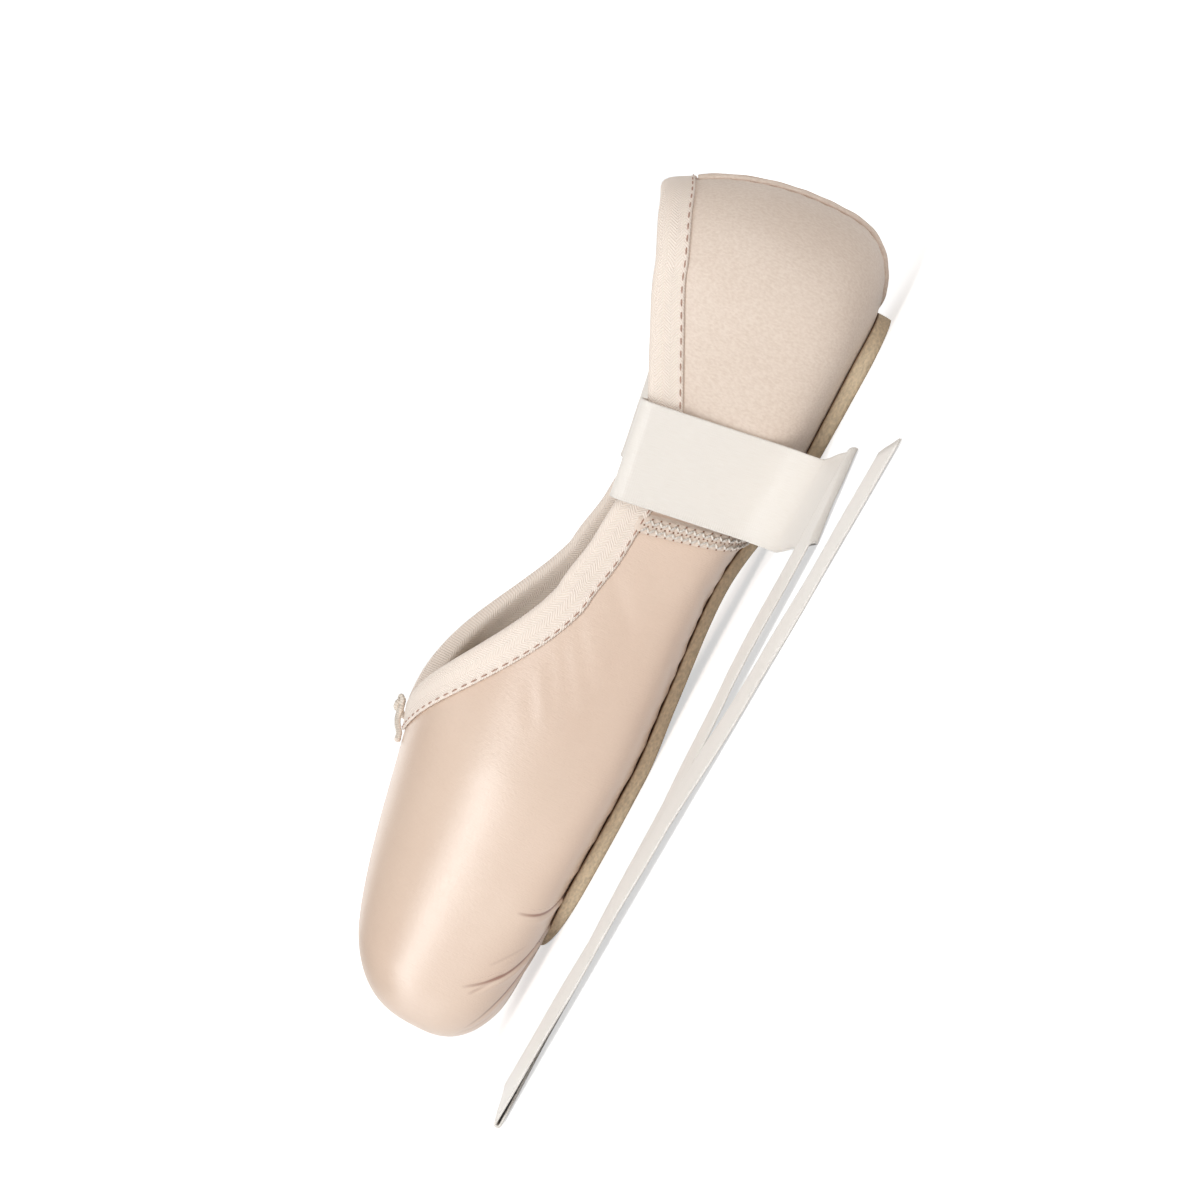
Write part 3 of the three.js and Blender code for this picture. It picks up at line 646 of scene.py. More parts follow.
    def even(self, reach, start, end, shares):
        """Angles at shares of the wall's length between two angles, for each reach."""
        t = np.linspace(0, 1, 161)
        angles = start[:, None] + (end - start)[:, None] * t
        points = self.skin(reach[:, None], angles)
        lengths = np.linalg.norm(np.diff(points, axis=1), axis=-1).cumsum(1)
        lengths = np.concatenate([np.zeros((len(reach), 1)), lengths], 1)
        total = np.maximum(lengths[:, -1:], 1e-9)
        rows = [np.interp(shares * total[i, 0], lengths[i], angles[i]) for i in range(len(reach))]
        return np.array(rows), shares * total

    def seam_reach(self, share):
        """Reach of the side seam at a share of the way from the collar to the sole."""
        top, foot = (place * self.length for place in SIDE_SEAM)
        return top + (foot - top) * share


# Meshes


def lengths_along(points):
    """Length of a line of points from its start to each of them."""
    return np.concatenate([[0], np.linalg.norm(np.diff(points, axis=0), axis=1).cumsum()])


def quads_of(rows, across, flip=False):
    """Quads of a grid of points."""
    i, k = np.meshgrid(np.arange(rows - 1), np.arange(across - 1), indexing="ij")
    first = i * across + k
    faces = np.stack([first, first + across, first + across + 1, first + 1], -1).reshape(-1, 4)
    return faces[:, ::-1] if flip else faces


def strip_of(first, second, flip=False):
    """Quads between two lines of point numbers."""
    faces = np.stack([first[:-1], first[1:], second[1:], second[:-1]], -1)
    return faces[:, ::-1] if flip else faces


class Cloth:
    """Points, faces and values of a piece while it is put together."""

    def __init__(self):
        self.points, self.faces, self.slots, self.values = [], [], [], []
        self.count = 0

    def add(self, points, faces, slot=0, thread=None, fold=None):
        """Adds points with their faces, and gives the number of the first point."""
        points = np.asarray(points, float).reshape(-1, 3)
        values = np.zeros((len(points), 6))
        if thread is not None:
            values[:, :3] = np.asarray(thread, float).reshape(-1, 3)
        if fold is not None:
            values[:, 3:] = np.asarray(fold, float).reshape(-1, 3)
        base = self.count
        self.points.append(points)
        self.values.append(values)
        self.count += len(points)
        self.join(np.asarray(faces) + base, slot)
        return base

    def join(self, faces, slot=0):
        """Adds faces between points that are there."""
        self.faces.append(faces)
        self.slots.append(np.full(len(faces), slot))

    def close(self, first, second, shape, flip):
        """Adds the edges between two grids of one shape that lie face to face."""
        number = np.arange(shape[0] * shape[1]).reshape(shape)
        for line, turned_round in (
            (number[:, 0], True),
            (number[:, -1], False),
            (number[0], False),
            (number[-1], True),
        ):
            self.join(strip_of(line + first, line + second, flip=turned_round ^ flip))

    def make(self, name, materials):
        """The mesh object, with shared corners and no collapsed faces."""
        points = np.concatenate(self.points)
        values = np.concatenate(self.values)
        faces = np.concatenate(self.faces)
        slots = np.concatenate(self.slots)
        _, first, number = np.unique(np.round(points, 3), axis=0, return_index=True, return_inverse=True)
        faces = number.ravel()[faces]
        points, values = points[first], values[first]
        kept, kept_slots = [], []
        for face, slot in zip(faces.tolist(), slots.tolist()):
            corners = [c for i, c in enumerate(face) if c != face[i - 1]]
            if len(set(corners)) == len(corners) > 2:
                kept.append(corners)
                kept_slots.append(slot)
        mesh = bpy.data.meshes.new(name)
        mesh.from_pydata((points * MM).tolist(), [], kept)
        mesh.polygons.foreach_set("material_index", kept_slots)
        mesh.polygons.foreach_set("use_smooth", [True] * len(kept))
        for title, part in (("thread", values[:, :3]), ("fold", values[:, 3:])):
            attribute = mesh.attributes.new(title, "FLOAT_VECTOR", "POINT")
            attribute.data.foreach_set("vector", part.astype(np.float32).ravel())
        for material in materials:
            mesh.materials.append(material)
        mesh.update()
        piece = bpy.data.objects.new(name, mesh)
        bpy.context.scene.collection.objects.link(piece)
        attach(piece, "root")
        return piece


def dress(piece, slot, *nodes):
    """Hides the solids that a piece stands in for, and gives the piece back."""
    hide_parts(*nodes)
    return piece


def mirror(points, side):
    """Points on the shoe's left, or their mirror images on its right."""
    return points * np.array([1.0, side, 1.0])


def loop_tube(cloth, centres, radius, sides, slot=0, ends=True):
    """Adds a round tube along a line of points."""
    centres = np.asarray(centres, float)
    radius = np.broadcast_to(np.asarray(radius, float), (len(centres),))
    heading = unit(np.gradient(centres, axis=0))
    guide = np.array([0.0, 0.0, 1.0]) if abs(heading[0][2]) < 0.9 else np.array([1.0, 0.0, 0.0])
    across = unit(np.cross(heading[0], guide))
    rings, length = [], 0.0
    thread = []
    turns = np.linspace(0, 2 * math.pi, sides + 1)
    for i, centre in enumerate(centres):
        across = unit(across - heading[i] * (across @ heading[i]))
        up = np.cross(heading[i], across)
        length += np.linalg.norm(centre - centres[i - 1]) if i else 0.0
        rings.append(centre + radius[i] * (np.cos(turns)[:, None] * across + np.sin(turns)[:, None] * up))
        thread.append(np.stack([np.full(sides + 1, length), turns, np.zeros(sides + 1)], -1))
    grid = np.array(rings)
    base = cloth.add(grid, quads_of(len(centres), sides + 1, flip=True), slot, np.array(thread))
    if ends:
        for row, flip in ((0, True), (len(centres) - 1, False)):
            ring = base + row * (sides + 1) + np.arange(sides)
            hub = np.full(sides - 2, ring[0])
            faces = np.stack([ring[1:-1], ring[2:], hub, hub], -1)
            cloth.join(faces[:, ::-1] if flip else faces, slot)


def line_on(points, normals, line):
    """Signed distances of points from a line on the surface, and the share along it."""
    best = np.full(len(points), 1e9)
    side, share = np.zeros(len(points)), np.zeros(len(points))
    for i in range(len(line) - 1):
        step = line[i + 1] - line[i]
        t = np.clip((points - line[i]) @ step / max(step @ step, 1e-9), 0, 1)
        away = points - line[i] - t[:, None] * step
        distance = np.linalg.norm(away, axis=1)
        closer = distance < best
        best[closer] = distance[closer]
        side[closer] = np.sign(dot(np.cross(step, away[closer]), normals[closer]))
        share[closer] = (i + t[closer]) / (len(line) - 1)
    return best * side, share


class Creases:
    """Folds that are laid over the satin: their height, and two sets of fold lines drawn in painted shade, so
    that lines close together stay apart. Each set has the signed distance to its nearest line and how dark
    the painted shade of that line is."""

    def __init__(self, points, normals):
        self.points, self.normals = points, normals
        self.height = np.zeros(len(points))
        self.away = np.full((2, len(points)), FAR)
        self.shade = np.zeros((2, len(points)))

    def press(self, line, depth, lip, width, fade, shade=0.0, group=0):
        """Presses a trough along a line, with a raised lip beside it."""
        margin = 8 * width
        low, high = line.min(0) - margin, line.max(0) + margin
        near = np.flatnonzero(np.all((self.points > low) & (self.points < high), axis=1))
        if not len(near):
            return
        away, share = line_on(self.points[near], self.normals[near], line)
        taper = fade(share)
        trough = np.exp(-((away / width) ** 2))
        ridge = np.exp(-(((away - LIP_PLACE * width) / (LIP_WIDTH * width)) ** 2))
        self.height[near] += taper * (lip * ridge - depth * trough)
        # Where shade is given, the nearest line is kept, to be drawn in painted shade as dark as shade.
        closer = (np.abs(away) < np.abs(self.away[group, near])) & (shade > 0)
        chosen = near[closer]
        self.away[group, chosen] = away[closer]
        drawn = np.clip(taper[closer] / 0.5, 0, 1)
        near_line = np.clip((FAR - np.abs(away[closer])) / FAR_FADE, 0, 1)
        self.shade[group, chosen] = shade * (drawn * near_line)

    def marks(self):
        """Distance and painted shade of both sets of lines, side by side."""
        return np.stack([self.away[0], self.shade[0], self.away[1], self.shade[1]], -1)


def surface_line(last, start, end, bow, count=14):
    """Line on the surface between two spots of reach and angle, bowed toward the toe."""
    t = np.linspace(0, 1, count)
    reach = start[0] + (end[0] - start[0]) * t + bow * np.sin(math.pi * t)
    angle = start[1] + (end[1] - start[1]) * t
    return last.skin(reach, angle)


def dies_out(share):
    """Full at the sole's edge, fading to nothing at the far end."""
    return np.clip(1 - share, 0, 1) ** 0.7


def both_ends(share):
    """Fades at both ends."""
    return np.sin(math.pi * np.clip(share, 0, 1)) ** 0.8


def lay_folds(last, points, normals, side):
    """Pleats, creases and gathers of the satin on one side of the shoe."""
    folds = Creases(points, normals)
    shift = 0.0 if side > 0 else OTHER_SIDE_SHIFT
    # Pleats and tip pleats get a line of painted shade, at strength 1 and 0.8; gathers get none.
    for i, (start, end_x, end_z, bow, depth, lip, width) in enumerate(zip(*PLEATS.values())):
        x = min(start + shift, last.sole_toe - last.origin - PLEAT_MARGIN)
        reach = last.reach_at(x)
        edge = last.sole_half(x + last.origin) + PLEAT_OUT
        to = last.reach_at(end_x - shift)
        line = surface_line(last, (reach, last.under_angle(reach, edge)), (to, last.angle_at(to, end_z)), bow)
        folds.press(line, depth, lip, width, dies_out, 1.0, i % 2)
    for i, (start_y, end_y, depth, width) in enumerate(zip(*TIP_PLEATS.values())):
        reach = last.reach_at(last.sole_toe - last.origin - TIP_PLEAT_MARGIN)
        to = last.toe_edge + TOE_ROUND * 0.9
        line = surface_line(
            last, (reach, last.under_angle(reach, start_y)), (to, last.under_angle(to, end_y)), 0.0
        )
        folds.press(line, depth, depth, width, dies_out, 0.8, i % 2)
    for from_x, from_z, to_x, to_z, depth, width in zip(*CREASES.values()):
        start, end = last.reach_at(from_x + shift), last.reach_at(to_x - shift)
        line = surface_line(last, (start, last.angle_at(start, from_z)), (end, last.angle_at(end, to_z)), 0.0)
        folds.press(line, depth, 0.5 * depth, width, both_ends, depth if width < 1 else 0.0)
    for x, height, reach_up in zip(*GATHERS.values()):
        reach = last.reach_at(x + shift)
        edge = last.sole_half(x + shift + last.origin)
        start = (reach, last.under_angle(reach, edge - 1))
        end_z = last.underside(x + last.origin, edge) + reach_up
        end = (reach + GATHER_LEAN, last.angle_at(reach + GATHER_LEAN, end_z))
        line = surface_line(last, start, end, 0.0, GATHER_POINTS)
        folds.press(line, -height, -0.4 * height, GATHER_WIDTH, dies_out)
    return folds.height, folds.marks()


def bands(*stretches):
    """Shares or places with a number of steps in each stretch, as (start, end, steps)."""
    parts = [np.linspace(start, end, count, endpoint=False) for start, end, count in stretches]
    return np.concatenate([*parts, [stretches[-1][1]]])


def wall_panel(cloth, last, reach, angle, lengths, side, folds, rims):
    """Adds a panel of the upper with its outer face, lining and edges. Rims are pairs of a line of the grid
    and whether it is turned round."""
    rows, across = reach.shape
    height, marks = folds
    thread = np.stack([reach, lengths, marks[..., 0]], -1)
    outer = mirror(last.offset(reach, angle, height), side)
    first = cloth.add(outer, quads_of(rows, across, flip=side < 0), 0, thread, marks[..., 1:])
    every = [np.unique(np.append(np.arange(0, count, LINING_STEP), count - 1)) for count in (rows, across)]
    wide = np.ix_(*every)
    inner = mirror(last.offset(reach[wide], angle[wide], -last.section(reach[wide])["wall"]), side)
    second = cloth.add(inner, quads_of(*inner.shape[:2], flip=side > 0), 1, thread[wide])
    number = np.arange(rows * across).reshape(rows, across)
    nearest = [np.searchsorted(kept, np.arange(count)) for kept, count in zip(every, (rows, across))]
    below = nearest[0][:, None] * len(every[1]) + nearest[1][None]
    for line, turned in rims(number):
        cloth.join(strip_of(line + first, below.ravel()[line] + second, flip=turned ^ (side > 0)), 0)


def wall_grid(last, reach, across):
    """Angles and lengths down the wall for columns at even shares of its height."""
    angle, lengths = np.empty_like(reach), np.empty_like(reach)
    for k, share in enumerate(across):
        column = reach[:, k]
        found, walked = last.even(column, last.collar(column), last.opening(column), np.array([share]))
        angle[:, k], lengths[:, k] = found[:, 0], walked[:, 0]
    return angle, lengths


def wall_folds(last, reach, angle, side):
    """Folds of the cloth over a grid of the wall."""
    points, normals = last.skin(reach, angle), last.normal(reach, angle)
    height, marks = lay_folds(last, points.reshape(-1, 3), normals.reshape(-1, 3), side)
    height = height.reshape(reach.shape) * np.clip(np.abs(points[..., 1]) / 3.0, 0, 1)
    return height, marks.reshape(*reach.shape, 4)


def make_vamp(last, materials):
    """Satin front of the upper: vamp, wings, box and platform, with its lining."""
    along, across = bands(*VAMP_ALONG), bands(*VAMP_DOWN)
    start = last.seam_reach(across) - SEAM_LAP
    reach = start + (last.platform_centre - start) * along[:, None]
    angle, lengths = wall_grid(last, reach, across)
    collar_rows = int((reach[:, 0] < last.throat).sum()) + 1
    sole_rows = int((reach[:, -1] < last.opening_toe).sum()) + 1

    def rims(number):
        return (
            (number[:collar_rows, 0], False),
            (number[:sole_rows, -1], True),
            (number[0], True),
        )

    cloth = Cloth()
    for side in (1, -1):
        wall_panel(cloth, last, reach, angle, lengths, side, wall_folds(last, reach, angle, side), rims)
    return cloth.make("satin_vamp", materials)


def make_quarter(last, side, materials):
    """Stretch-satin back of one side, lapped over the vamp at the side seam."""
    along, across = bands(*QUARTER_ALONG), bands(*QUARTER_DOWN)
    end = last.seam_reach(across)
    reach = last.heel_back + (end - last.heel_back) * along[:, None]
    angle, lengths = wall_grid(last, reach, across)
    height, marks = wall_folds(last, reach, angle, side)
    ahead, behind = end - reach, reach - last.heel_back
    band = np.clip((2 * SEAM_HALF + 1.0 - ahead) / SEAM_SLOPE, 0, 1)
    height += QUARTER_LEVEL + SEAM_RISE * band**2 * (3 - 2 * band)
    height += SEAM_RIPPLE * band * np.sin(lengths * 2 * math.pi / SEAM_RIPPLE_PITCH + ahead)
    height -= 0.5 * np.clip(1 - ahead / 0.5, 0, 1) ** 2
    pucker = np.exp(-((behind / PUCKER_WIDTH) ** 2)) * np.sin(lengths * 2 * math.pi / PUCKER_PITCH)
    height += PUCKER_DEPTH * pucker - GROOVE_DEPTH * np.exp(-((behind / GROOVE_WIDTH) ** 2))
    for away, (place, strength) in ((behind, HEEL_LINE), (ahead, SIDE_LINE)):
        line = away - place
        closer = np.abs(line) < FAR
        marks[closer, 0] = line[closer]
        marks[closer, 1] = strength
    cloth = Cloth()

    def rims(number):
        return (
            (number[:, 0], False),
            (number[:, -1], True),
            (number[0], True),
            (number[-1], False),
        )

    wall_panel(cloth, last, reach, angle, lengths, side, (height, marks), rims)
    return cloth.make("quarter_left" if side > 0 else "quarter_right", materials)


def collar_walk(last, count):
    """Spots of the collar's edge from the heel to the throat, evenly apart, with the way down the wall."""
    t = np.linspace(0, 1, COLLAR_POINTS)
    reach = last.heel_back + (last.throat - last.heel_back) * (1 - (1 - t) ** 1.6)
    angle = last.collar(reach)
    points = last.skin(reach, angle)
    lengths = lengths_along(points)
    places = np.linspace(0, lengths[-1], count)
    reach = np.interp(places, lengths, reach)
    angle = last.collar(reach)
    points = last.skin(reach, angle)
    forward = np.gradient(points, axis=0)
    forward[0], forward[-1] = (0, 1, 0), (0, -1, 0)
    away = unit(np.cross(last.normal(reach, angle), forward))
    return reach, angle, away, places


def make_binding(last, material):
    """Folded twill tape round the collar, full over the drawstring inside it."""
    count = BINDING_STEPS
    reach, angle, away, places = collar_walk(last, count)
    cloth = Cloth()
    down, off, inside = (BINDING[name] for name in ("down", "off", "inside"))
    across = np.concatenate([[0], np.hypot(np.diff(down), np.diff(off)).cumsum()])
    rings = []
    for drop, level, within in zip(down, off, inside):
        place, turn = last.walk(reach, angle, away, np.full(count, max(drop, 0.0)))
        ripple = 0.07 * np.sin(places * 2 * math.pi / 3.1) * np.clip((drop - 3) / 3, 0, 1)
        depth = -last.section(place)["wall"] - level if within else level - ripple
        rings.append(last.offset(place, turn, depth) + away * min(drop, 0.0))
    grid = np.stack([*rings, rings[0]], 1)
    across = np.append(across, across[-1] + 1.0)
    along, over = np.broadcast_arrays(places[:, None], across[None])
    thread = np.stack([along, over, np.ones(grid.shape[:2])], -1)
    for side in (1, -1):
        cloth.add(mirror(grid, side), quads_of(count, grid.shape[1], flip=side > 0), 0, thread)
    return cloth.make("collar_binding", [material])


def stitch_run(cloth, last, spots, height, radius, slot=0):
    """Adds a row of stitches, each from one spot to another, arched over the cloth."""
    profile, lift = STITCH_FORM["radius"], STITCH_FORM["lift"]
    t = np.linspace(0, 1, len(profile))
    for (from_reach, from_angle), (to_reach, to_angle), side in spots:
        reach = from_reach + (to_reach - from_reach) * t
        angle = from_angle + (to_angle - from_angle) * t
        centres = mirror(last.offset(reach, angle, height + lift * radius), side)
        loop_tube(cloth, centres, profile * radius, STITCH_SIDES, slot)


def make_binding_stitches(last, pitch, material):
    """Dashed stitch line along the lower edge of the binding."""
    reach, angle, away, _ = collar_walk(last, TAPE_STITCH_STEPS)
    low_reach, low_angle = last.walk(reach, angle, away, np.full(TAPE_STITCH_STEPS, TAPE_STITCH_DOWN))
    points = last.skin(low_reach, low_angle)
    lengths = lengths_along(points)
    spots = []
    for start in np.arange(0.6 * pitch, lengths[-1] - pitch, pitch):
        ends = [
            (np.interp(place, lengths, low_reach), np.interp(place, lengths, low_angle))
            for place in (start, start + TAPE_STITCH_SHARE * pitch)
        ]
        spots += [(*ends, side) for side in (1, -1)]
    cloth = Cloth()
    stitch_run(cloth, last, spots, TAPE_STITCH_LEVEL, TAPE_STITCH_RADIUS)
    return cloth.make("binding_stitches", [material])


def make_seam_stitches(last, pitch, side, materials):
    """Two rows of zigzag stitches with their needle holes on the side seam's lap."""
    cloth = Cloth()
    share = np.linspace(0, 1, SEAM_POINTS)
    reach = last.seam_reach(share)
    angle = wall_grid(last, reach[None], share)[0][0]
    points = last.skin(reach, angle)
    lengths = lengths_along(points)
    lower = last.angle_at(last.seam_reach(1.0), last.feather + STITCH_FOOT)
    last_place = np.interp(lower, angle, lengths)
    places = np.arange(STITCH_TOP, last_place, pitch / 2)
    spots, holes = [], []
    for middle in STITCH_ROWS:
        corners = []
        for i, place in enumerate(places):
            swing = STITCH_SWING if i % 2 else -STITCH_SWING
            corner = (np.interp(place, lengths, reach) - middle - swing, np.interp(place, lengths, angle))
            corners.append(corner)
            holes.append((corner[0] - HOLE_INSIDE * swing, corner[1]))
        spots += [(a, b, side) for a, b in zip(corners, corners[1:])]
    stitch_run(cloth, last, spots, SEAM_RISE + STITCH_LEVEL, STITCH_RADIUS)
    # The needle holes are small discs in painted shade.
    turns = np.linspace(0, 2 * math.pi, HOLE_SIDES + 1)[:-1]
    for place, turn in holes:
        centre = last.offset(place, turn, SEAM_RISE + HOLE_LEVEL)
        along, around = (unit(v) for v in last.tangents(place, turn))
        ring = centre + HOLE_RADIUS * (np.cos(turns)[:, None] * along + np.sin(turns)[:, None] * around)
        cap = centre + last.normal(place, turn) * HOLE_CROWN
        disc = mirror(np.concatenate([ring, [cap]]), side)
        faces = np.array([[i, (i + 1) % HOLE_SIDES, HOLE_SIDES, HOLE_SIDES] for i in range(HOLE_SIDES)])
        cloth.add(disc, faces if side > 0 else faces[:, ::-1], 1)
    return cloth.make("seam_stitches_left" if side > 0 else "seam_stitches_right", materials)


def make_back_seam(last, materials):
    """Narrow raised seam down the middle of the heel, with a painted shadow along its groove."""
    cloth = Cloth()
    count = HEEL_SEAM_ROWS
    start = (np.array([last.heel_back]), np.array([float(last.collar(last.heel_back))]))
    _, around = last.tangents(*start)
    top = last.walk(*start, unit(around), np.array([HEEL_SEAM_TOP]))[1][0]
    foot = last.under_angle(last.heel_back, last.heel_side - last.sole_heel + 1.6)
    angle = np.linspace(top, float(foot), count)
    reach = np.full(count, last.heel_back)
    sideways = np.tile([0.0, 1.0, 0.0], (count, 1))
    ends = np.clip((count - 1 - np.arange(count)) / 9, 0, 1) ** 0.5
    along = np.linspace(0, HEEL_SEAM_LENGTH, count)
    rows, lows, thread = [], [], []
    for share in np.linspace(-1, 1, HEEL_SEAM_ACROSS):
        aside = np.full(count, share * HEEL_SEAM_HALF)
        place, turn = last.walk(reach, angle, sideways, aside)
        groove = HEEL_SEAM_GROOVE * math.exp(-((share / 0.16) ** 2))
        ripple = HEEL_SEAM_RIPPLE * np.sin(along + 2 * share)
        level = GAP + HEEL_SEAM_RISE * (1 - share**4) - groove + ripple * (1 - abs(share))
        rows.append(last.offset(place, turn, level * ends - 0.25 * (1 - ends)))
        lows.append(last.offset(place, turn, np.full(count, -HEEL_SEAM_SINK)))
        thread.append(np.stack([along, np.full(count, share), aside], -1))
    outer, inner, thread = (np.stack(lines, 1) for lines in (rows, lows, thread))
    shadow = np.full(outer.shape, (0.35, FAR, 0.0))
    first = cloth.add(outer, quads_of(*outer.shape[:2], flip=True), 0, thread, shadow)
    second = cloth.add(inner, quads_of(*outer.shape[:2]), 0, thread)
    cloth.close(first, second, outer.shape[:2], True)
    return cloth.make("heel_seam", materials)


def make_plate(name, last, start, end, half_at, top_at, bottom_at, profile, materials, slots):
    """A sole: a plate with an outline, a top, a bottom and an edge with a rounded profile."""
    cloth = Cloth()
    turn = np.linspace(0, math.pi, PLATE_ROWS)
    distance = start + (end - start) * (1 - np.cos(turn)) / 2
    across = np.linspace(-1, 1, PLATE_ACROSS)
    half = half_at(distance)
    grids = []
    for level_at, inset in ((top_at, profile[0][1]), (bottom_at, profile[-1][1])):
        room = np.maximum(half - inset, 0.0)
        y = across * room[:, None]
        x = np.repeat(distance[:, None], PLATE_ACROSS, 1)
        grids.append(np.stack([x - last.origin, y, level_at(x, y)], -1))
    for grid, level, slot in zip(grids, (1, 0), slots):
        thread = np.stack([grid[..., 0], grid[..., 1], np.full(grid.shape[:2], level)], -1)
        cloth.add(grid, quads_of(PLATE_ROWS, PLATE_ACROSS, flip=level == 0), slot, thread)
    for side in (1, -1):
        column = -1 if side > 0 else 0
        edge_top, edge_low = grids[0][:, column], grids[1][:, column]
        rings = []
        for share, inset in profile:
            room = np.maximum(half - inset, 0.0) * side
            z = edge_top[:, 2] + (edge_low[:, 2] - edge_top[:, 2]) * share
            rings.append(np.stack([distance - last.origin, room, z], -1))
        rings[0], rings[-1] = edge_top, edge_low
        wall = np.stack(rings, 1)
        depth = np.repeat(np.linspace(1, 0, len(profile))[None], PLATE_ROWS, 0)
        thread = np.stack([wall[..., 0], wall[..., 2], depth], -1)
        cloth.add(wall, quads_of(PLATE_ROWS, len(profile), flip=side < 0), slots[2], thread)
    return cloth.make(name, materials)


def make_outsole(last, materials):
    """Leather outsole with a suede underside and a rounded cut edge."""

    def bottom(x, y):
        arch = np.maximum(0, smooth(SECTIONS, "lift", x / last.length))
        tip = np.clip((last.sole_toe - x) / SOLE_TOE_CAP, 0, 1)
        return np.maximum(arch, SOLE_TIP_RISE * (1 - tip) ** 4)

    return make_plate(
        "leather_outsole",
        last,
        last.sole_heel,
        last.sole_toe,
        last.sole_half,
        lambda x, y: last.underside(x, y) - GAP,
        bottom,
        OUTSOLE_EDGE,
        materials,
        (1, 0, 1),
    )


def make_insole(last, thickness, materials):
    """Sock insole over the floor of the upper."""
    heel, toe = INSOLE_HEEL * last.length, INSOLE_TOE * last.length

    def half_at(x):
        back = np.clip((x - heel) / INSOLE_CAP, 0, 1)
        front = np.clip((toe - x) / INSOLE_CAP, 0, 1)
        cut = last.section(np.maximum(x, last.heel_side))
        half = cut["half"] * INSOLE_SHARE - cut["wall"]
        return half * np.sqrt(1 - (1 - back) ** 2) * np.sqrt(1 - (1 - front) ** 2)

    def floor(x, y):
        slope = (last.underside(x, np.abs(y) + 0.2) - last.underside(x, y)) / 0.2
        return last.underside(x, y) + last.section(x)["wall"] * np.hypot(1, slope) + GAP

    return make_plate(
        "sock_insole",
        last,
        heel,
        toe,
        half_at,
        lambda x, y: floor(x, y) + thickness,
        floor,
        INSOLE_EDGE,
        materials,
        (0, 0, 0),
    )


def make_drawstring(last, radius, materials):
    """Knot of the drawstring at the throat, with its two ends over the binding."""
    cloth = Cloth()
    crest = BINDING["off"].max() + GAP
    throat = (np.array([last.throat]), np.array([0.0]))
    centre = last.offset(*throat, np.array([crest + KNOT_RISE]))[0] + np.array([KNOT_RISE, 0.0, 0.0])
    t = np.linspace(0, 2 * math.pi, KNOT_POINTS)
    ring = np.stack(
        [
            KNOT_SIZE * (np.sin(t) + 2 * np.sin(2 * t)),
            KNOT_SIZE * (np.cos(t) - 2 * np.cos(2 * t)),
            -0.5 * np.sin(3 * t),
        ],
        -1,
    )
    loop_tube(cloth, centre + ring, KNOT_SIZE, KNOT_SIDES, ends=False)
    for length, splay in CORD_ENDS:
        turn = math.radians(splay)
        heading = np.array([[math.cos(turn), math.sin(turn), 0.0]])
        ends = []
        for distance in np.linspace(0, length, CORD_POINTS)[1:]:
            place, angle = last.walk(*throat, heading, np.array([distance]))
            wave = CORD_WAVE * math.sin(distance * 1.1 + splay)
            sunk = min(1.0, max(0.0, (distance - CORD_SINK_START) / CORD_SINK_LENGTH))
            drop = (crest - CORD_OVER_VAMP) * sunk**2
            ends.append(last.offset(place, angle, np.array([crest + radius - drop]))[0] + [0, wave, 0])
        path = np.array([centre, centre * 0.45 + ends[0] * 0.55, *ends])
        swell = np.full(len(path), radius)
        swell[-3:] = radius * np.array(CORD_END_SHARES)
        loop_tube(cloth, path, swell, CORD_SIDES)
        tip = unit(path[-1] - path[-2])
        seal = path[-1] + np.outer(SEAL_PLACES, tip)
        loop_tube(cloth, seal, radius * np.array(SEAL_SHARES), CORD_SIDES, 1)
    return cloth.make("drawstring", materials)


# Ribbons


def roll_round(bend, flat, points):
    """Points of the strip after one bend."""
    at, turn, radius, slant = bend
    cosine, sine = math.cos(math.radians(slant)), math.sin(math.radians(slant))
    side = math.copysign(1.0, turn)
    past = (flat[..., 0] - at) * cosine - flat[..., 1] * sine
    roll = np.clip(past / radius, 0, math.radians(abs(turn)))
    ahead = (points[..., 0] - at) * cosine - points[..., 1] * sine - radius * roll
    beside = (points[..., 0] - at) * sine + points[..., 1] * cosine
    depth = side * points[..., 2] - radius
    forward = ahead * np.cos(roll) - depth * np.sin(roll)
    height = radius + ahead * np.sin(roll) + depth * np.cos(roll)
    x = at + forward * cosine + beside * sine
    y = beside * cosine - forward * sine
    return np.stack([x, y, side * height], -1)


def turned(vector, axis, degrees):
    """A vector turned about an axis."""
    return np.array(Matrix.Rotation(math.radians(degrees), 3, Vector(axis)) @ Vector(vector))


def ribbon_rows(length, bends):
    """Places along the strip, close together in the bends, with the slant of each row."""
    rows = []
    for at, turn, radius, slant in bends:
        span = radius * math.radians(abs(turn)) / math.cos(math.radians(slant))
        count = max(6, int(abs(turn) / 6))
        rows += [(place, slant) for place in np.linspace(at, at + span, count)]
    rows = [(0.0, 0.0), *rows, (length, RIBBON_CUT_SLANT)]
    full = []
    for (a, slant_a), (b, slant_b) in zip(rows, rows[1:]):
        steps = max(1, int((b - a) / RIBBON_STEP))
        for i in range(steps):
            full.append((a + (b - a) * i / steps, slant_a + (slant_b - slant_a) * i / steps))
    return [*full, rows[-1]]


